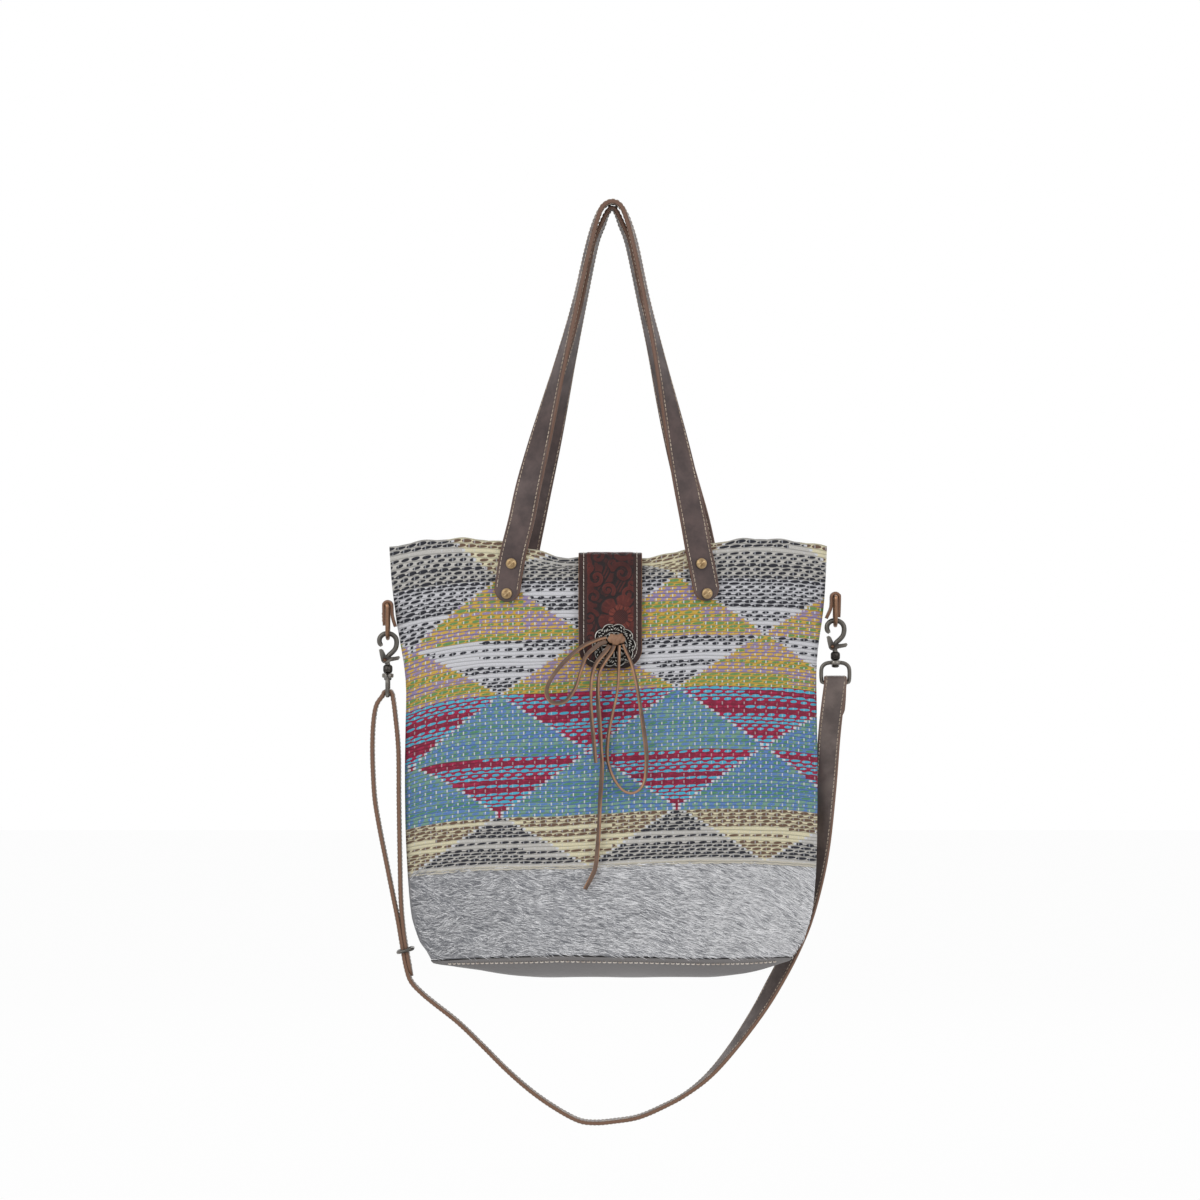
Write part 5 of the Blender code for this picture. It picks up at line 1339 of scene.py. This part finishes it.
def tooling(u, s):
    """Height of the carving, from 0 on the ground to 1 on the petals."""
    down = FLAP_RUN[-1] - s
    height = np.zeros_like(u)
    bu, bd = FLOWER_ACROSS, FLOWER_DOWN
    r, angle = np.hypot(u - bu, down - bd), np.arctan2(down - bd, u - bu)
    for petals, size, turn, level in PETALS:
        wave = np.abs(np.cos(petals * (angle - turn) / 2.0))
        rim = size * (0.72 + 0.28 * wave**0.5)
        body = ease((rim - r) / 1.0)
        vein = 0.35 * ease((0.16 - np.abs(np.sin(petals * (angle - turn) / 2.0))) / 0.1) * (r > size * 0.3)
        split = ease((wave - 0.12) / 0.14)
        rays = 0.1 * np.cos(22 * angle) * (r > size * 0.7)
        height = np.where(body > 0.02, body * split * (level - vein + rays), height)
    height = np.where(r < FLOWER_HEART, 0.32 + 0.3 * np.cos(u * 3.4) * np.cos(down * 3.4), height)
    clear = np.full(u.shape, 99.0)
    for cu, cd, size, way, thick in SCROLLS:
        t = np.linspace(0.0, 1.0, 60)
        spin = way * (t * 8.2 + cu * 0.35)
        reach = size * (1.0 - t) ** 0.8
        su, sd = cu + reach * np.cos(spin), cd + reach * np.sin(spin)
        near = np.full(u.shape, 99.0)
        for a, b, w in zip(su, sd, thick * (1.0 - 0.45 * t)):
            near = np.minimum(near, np.hypot(u - a, down - b) / w)
        clear = np.minimum(clear, near)
        leaf = 0.74 * ease((1.45 - near) / 0.3) - 0.42 * ease((0.42 - near) / 0.25)
        height = np.maximum(height, np.where(r > FLOWER_CLEAR, np.maximum(leaf, 0.0), 0.0))
    sway = 0.5 * u + 2.4 * np.sin(0.12 * down + 0.6) + 1.2 * np.sin(0.35 * u - 0.22 * down)
    fronds = 0.36 * ease((np.cos(2.6 * sway) + 0.6) / 0.5)
    fronds = fronds * ease((clear - 1.9) / 0.2) * ease((r - 20.5) / 0.6)
    height = np.maximum(height, fronds)
    return height * ease((FLAP_WIDTH / 2 - 6.5 - np.abs(u)) / 1.2) * ease((down - 6.5) / 1.2)


def flap_material():
    material, n, shader = new_material("tooled_flap_leather", 0.52, Specular_IOR_Level=0.25)
    height, mottle = grain_of(n)
    carve, rim = n.attribute("carve"), n.attribute("rim")
    stipple = n.add("TexVoronoi", {"Vector": n.add("UVMap"), "Scale": 1.5}, 0)
    ground = n.mix(n.step(stipple, 0.1, 0.5), srgb(12, 9, 10), srgb(36, 25, 26))
    carved = n.mix(mottle, srgb(58, 25, 24), srgb(92, 40, 35))
    rubbed = n.mix(mottle, srgb(92, 42, 34), srgb(126, 62, 50))
    margin = n.mix(mottle, srgb(44, 27, 26), srgb(66, 42, 38))
    cut_edge = n.mix(mottle, srgb(128, 90, 66), srgb(170, 128, 94))
    colour = n.mix(n.step(carve, 0.12, 0.5), ground, carved)
    colour = n.mix(n.step(carve, 0.78, 1.05), colour, rubbed)
    border = n.step(n.absolute(n.uv_part(0)), 19.0, 20.5)
    colour = n.mix(n.times(border, 0.8), colour, margin)
    colour = n.mix(rim, colour, cut_edge)
    bumps = n.plus(n.times(height, 0.5), n.times(stipple, 0.9))
    return finish_material(material, n, shader, colour, None, bumps, 0.3, 0.18)


def make_flap():
    """The flap as two grids joined round their rim, and the thread along its edge."""
    run, columns, corner_z = FLAP_RUN[-1], FLAP_COLUMNS, FLAP_CORNER
    split = run - FLAP_END_RUN
    s = np.concatenate([np.linspace(0, split, FLAP_ROWS)[:-1], np.linspace(split, run, FLAP_END_ROWS)])
    near = np.minimum(run - s, corner_z)
    half = FLAP_WIDTH / 2 - (corner_z - np.sqrt(np.clip(corner_z**2 - (corner_z - near) ** 2, 0, None)))
    share = np.linspace(-1, 1, columns)
    u, along = half[:, None] * share[None], np.repeat(s[:, None], columns, 1)
    carve = tooling(u, along)
    stipple = 0.12 * np.sin(u * 5.1) * np.sin(along * 4.7) * (carve < 0.1) * (np.abs(u) < 20)
    soft = ease((half[:, None] - np.abs(u)) / 0.9) * ease((run - along) / 0.9)
    pull = -0.18 * np.exp(-((half[:, None] - 4.2 - np.abs(u)) / 0.8) ** 2)
    top = flap_point(u, along, (FLAP_PLY / 2 - 0.35) + 0.35 * soft + 0.62 * carve + stipple + pull)
    low = flap_point(u, along, np.full_like(u, -FLAP_PLY / 2))
    rim = (np.abs(share)[None] > 0.999) | (s > run - 0.01)[:, None]
    rows = len(s)
    v = np.concatenate([top.reshape(-1, 3), low.reshape(-1, 3)])
    index = np.arange(rows * columns).reshape(rows, columns)
    loop = np.concatenate([index[0], index[1:, -1], index[-1, -2::-1], index[-2:0:-1, 0]])
    after, size = np.roll(loop, -1), rows * columns
    sides = np.stack([loop, after, after + size, loop + size], 1)
    faces = np.vstack([grid_faces(rows, columns)[:, ::-1], grid_faces(rows, columns, size), sides])
    uv = np.tile(np.stack([u, along], -1).reshape(-1, 2), (2, 1))
    edge = np.concatenate([rim.ravel(), np.ones(size) * 0.75]).astype(float)
    layers = {"carve": np.concatenate([carve.ravel(), np.zeros(size)]), "rim": edge}
    piece = add_mesh("tooled_flap", v, faces, flap_material(), uv, layers)
    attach(piece, "flap")
    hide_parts("closure_flap")
    inset, corner = FLAP_WIDTH / 2 - FLAP_SEAM_IN, FLAP_CORNER - FLAP_SEAM_IN
    start = run - FLAP_CORNER
    side = [(inset, 6.0), (inset, run * 0.5), (inset, start - 1)]
    side += [
        (inset - corner * (1 - math.cos(a)), start + corner * math.sin(a))
        for a in np.radians(np.linspace(0, 90, 9))
    ]
    line = np.array([(-across, down) for across, down in side] + side[::-1])
    gaps = run_along(line)
    lu, ls = sample(np.arange(0, gaps[-1], 1.0), gaps, line).T
    seat = flap_point(lu, ls, np.full(len(lu), FLAP_PLY / 2 - 0.1))
    up = flap_point(lu, ls, np.full(len(lu), FLAP_PLY / 2 + 0.9)) - seat
    ahead = unit(np.gradient(seat, axis=0))
    v, f, uv = stitches(seat, np.cross(up, ahead), 0.0, 0.1, 3.5, 2.8, 0.32)
    seam = add_mesh("flap_stitching", v, f, WHITE_THREAD, uv)
    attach(seam, "flap")


def concho_material():
    """Antiqued silver: black in the hollows of the engraving, and rubbed bright on its high lines."""
    material, n, shader = new_material("antique_silver", 0.34, 1.0)
    cloud = n.step(n.noise(n.object_place(), 420.0, 5.0, 0.7), 0.35, 0.7, 0.45, 1.0)
    share = n.times(n.step(n.attribute("cut"), 0.02, 0.26), cloud)
    colour = n.mix(share, srgb(26, 24, 23), srgb(190, 187, 181))
    return finish_material(material, n, shader, colour, n.plus(n.times(share, -0.2), 0.5))


def make_concho():
    """The ornament: a scalloped, domed disc with an engraved border, petals, beads and two grooves."""
    back = flap_front_y(CONCHO_Z) - 0.3 - 0.6
    angle = np.linspace(0, 2 * math.pi, 241)[:-1]
    share = np.concatenate([[1.0, 1.0, 0.985], np.linspace(0.97, 0.12, 44), [0.0]])
    base = np.interp(share, (0.0, 0.34, 0.62, 0.86, 0.985, 1.0), (3.0, 3.0, 2.2, 1.9, 1.2, 0.9))
    base[0] = 0.0
    t = share[:, None]
    lobe = 1 + (0.11 * np.abs(np.cos(5 * angle)) ** 0.7 - 0.06)[None] * t
    radius = CONCHO_RADIUS * t * lobe
    scroll = np.abs(np.sin(5 * angle))[None]
    rays = 0.34 * np.cos(34.0 * (t + 0.12 * scroll)) * np.cos(20.0 * angle[None] + 9.0 * t)
    rays = rays * ease((t - 0.62) / 0.05) * ease((0.95 - t) / 0.04)
    petals = 0.34 * np.cos(16 * angle)[None] * ease((t - 0.3) / 0.06) * ease((0.58 - t) / 0.04)
    beads = 0.3 * np.abs(np.cos(28 * angle))[None] * np.exp(-((t - 0.6) / 0.025) ** 2)
    grooves = -0.35 * np.exp(-((t - 0.66) / 0.012) ** 2) - 0.35 * np.exp(-((t - 0.3) / 0.015) ** 2)
    carved = np.clip(rays + petals + beads + grooves, -0.5, 0.45) * (t < 0.97)
    height = base[:, None] + carved
    x, z = radius * np.cos(angle)[None], radius * np.sin(angle)[None]
    v = np.stack([CONCHO_X + x, back - height + 0.08 * z, CONCHO_Z + z], -1)
    faces = ring_faces(len(share), len(angle))[:-1]
    cut = carved + 0.3 * (t >= 0.97)
    layers = {"cut": cut.ravel()}
    piece = add_mesh("engraved_concho", v.reshape(-1, 3), faces, concho_material(), layers=layers)
    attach(piece, "flap")
    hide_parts("concho")


make_flap()
make_concho()
print("flap and ornament made")

# %% [markdown]
# ## Clips, rings and slide
# The snap hooks, swivel eyes and D-rings are round wire, so each is a smooth tube along its own line with
# turned collars. The triggers are folded plates, kept from the exact part and given worn, rounded edges.

# %% Hardware
RING_HALF, EYE_HALF, HOOK_WIRE = 13.3, 11.6, 2.1
PIN_ACROSS, PIN_DOWN = -2.4, -24.2
EYE_ROUTE = (
    (0.0, -37.4), (-5.0, -37.5), (-9.0, -38.8), (-EYE_HALF, -42.6), (-EYE_HALF, -51.6), (-9.9, -54.0),
    (0.0, -54.0), (9.9, -54.0), (EYE_HALF, -51.6), (EYE_HALF, -42.6), (9.0, -38.8), (5.0, -37.5),
)
EYE_BOSS = ((3.0, -39.4), (4.4, -39.2), (4.9, -38.4), (4.9, -36.2), (4.2, -35.5), (2.7, -35.45))
HOOK_ROUTE = (
    (-5.0, -12.6), (-6.9, -9.6), (-6.6, -5.6), (-3.6, -2.7), (0.0, -2.1), (3.6, -2.9), (6.6, -5.8),
    (7.4, -10.0), (6.4, -14.6), (3.6, -18.0), (0.6, -20.8), (-0.6, -24.4), (0.0, -28.6),
)
COLLAR = (
    (0.8, -27.6), (2.2, -28.2), (3.2, -28.8), (3.9, -29.8), (4.0, -31.8), (3.9, -33.8), (3.2, -35.2),
    (1.9, -35.3), (1.9, -39.5), (3.2, -39.6), (3.2, -40.6), (2.2, -41.5), (0.6, -41.7),
)
PIN_BOSS = ((0.4, -2.3), (2.6, -2.3), (3.0, -2.0), (3.0, 2.0), (2.6, 2.3), (0.4, 2.3))
PIN = (
    (0.3, -4.5), (1.2, -4.4), (1.7, -3.9), (1.6, -3.7), (1.6, 3.7), (1.7, 3.9), (1.2, 4.4), (0.3, 4.5),
)


def hardware(name, parts, material, body, node):
    v, f, uv = merge(parts)
    piece = add_mesh(name, v, f, material, uv)
    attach(piece, body)
    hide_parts(node)


def loop_of(points, wire):
    """A closed round wire: its path runs on past the start, and is cut where it comes back there."""
    ring = smooth_path(points[-2:] + points + points[:3], 0.9)
    away = np.linalg.norm(ring - points[0], axis=1)
    middle = len(ring) // 2
    first, last = int(np.argmin(away[:middle])), middle + int(np.argmin(away[middle:]))
    return sweep(ring[first:last], circle(wire, 16), closed=True)


def ring_points(label, x, z):
    """A D-ring: a straight bar at the top and a round bow as deep as the exact ring."""
    low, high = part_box(label + "_ring")
    depth = (high.z - low.z) / MM - RING_WIRE
    straight = max(depth - RING_HALF, 0.0)
    ring = [(2.0 - RING_HALF, 0.0), (0.0, 0.0), (RING_HALF - 2.0, 0.0), (RING_HALF - 0.5, -0.6)]
    for a in [math.pi * k / 12 for k in range(13)]:
        ring.append((RING_HALF * math.cos(a), -straight - (depth - straight) * math.sin(a) ** 0.9))
    ring.append((0.5 - RING_HALF, -0.6))
    return [(x, across, z + up) for across, up in ring]


for label, place in SIDES.items():
    (x, bar_z), top, turn = place["bar"], place["top"], math.radians(place["yaw"])
    wire = loop_of(ring_points(label, x, bar_z), RING_WIRE / 2)
    hardware(label + "_d_ring", [wire], COPPER, label + "_ring", label + "_ring")
    eye = [(x + a * math.cos(turn), a * math.sin(turn), top + b) for a, b in EYE_ROUTE]
    parts = [loop_of(eye, EYE_WIRE / 2), turned(EYE_BOSS, (x, 0, top), "Z")]
    hardware(label + "_eye_bow", parts, GUNMETAL, "strap", label + "_swivel_eye")
    path = smooth_path([(x + a, 0.0, top + b) for a, b in HOOK_ROUTE], 0.7)
    scale = np.interp(np.linspace(0, 1, len(path)), (0, 0.02, 0.05), (0.55, 0.85, 1.0))
    pin_place = (x + PIN_ACROSS, 0, top + PIN_DOWN)
    parts = [sweep(path, circle(HOOK_WIRE, 18), None, scale), turned(COLLAR, (x, 0, top), "Z")]
    parts.append(turned(PIN_BOSS, pin_place, "Y", 24))
    hardware(label + "_hook_wire", parts, GUNMETAL, label + "_hook", label + "_snap_hook")
    parts = [turned(PIN, pin_place, "Y", 24)]
    hardware(label + "_pin_heads", parts, COPPER, label + "_hook", label + "_trigger_pin")


def worn_copy(node, name, material, body, width):
    """A CAD piece with welded vertices and softly bevelled edges."""
    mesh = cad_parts[node].data.copy()
    work = bmesh.new()
    work.from_mesh(mesh)
    bmesh.ops.remove_doubles(work, verts=work.verts, dist=2e-6)
    bmesh.ops.dissolve_limit(work, angle_limit=0.02, verts=work.verts, edges=work.edges)
    work.to_mesh(mesh)
    work.free()
    mesh.materials.clear()
    mesh.materials.append(material)
    piece = bpy.data.objects.new(name, mesh)
    scene.collection.objects.link(piece)
    bevel = piece.modifiers.new("worn_edges", "BEVEL")
    bevel.width = width * MM
    bevel.segments = 3
    bevel.limit_method = "ANGLE"
    bevel.angle_limit = math.radians(34)
    mesh.polygons.foreach_set("use_smooth", np.ones(len(mesh.polygons), bool))
    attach(piece, body)
    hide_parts(node)


for label in SIDES:
    worn_copy(label + "_trigger", label + "_lever", GUNMETAL, label + "_trigger", 0.3)
worn_copy("strap_slide", "slide_keeper", GUNMETAL, "strap", 0.2)
print("hardware made")

# %% Finish
low, high = (np.array(corner) for corner in cad_box)
look_low, look_high = (np.array(corner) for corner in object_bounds())
sizes = {
    "cad": [low.tolist(), high.tolist()],
    "look": [look_low.tolist(), look_high.tolist()],
}
for label, (least, most) in sizes.items():
    print(label, "from", np.round(least, 4), "to", np.round(most, 4))
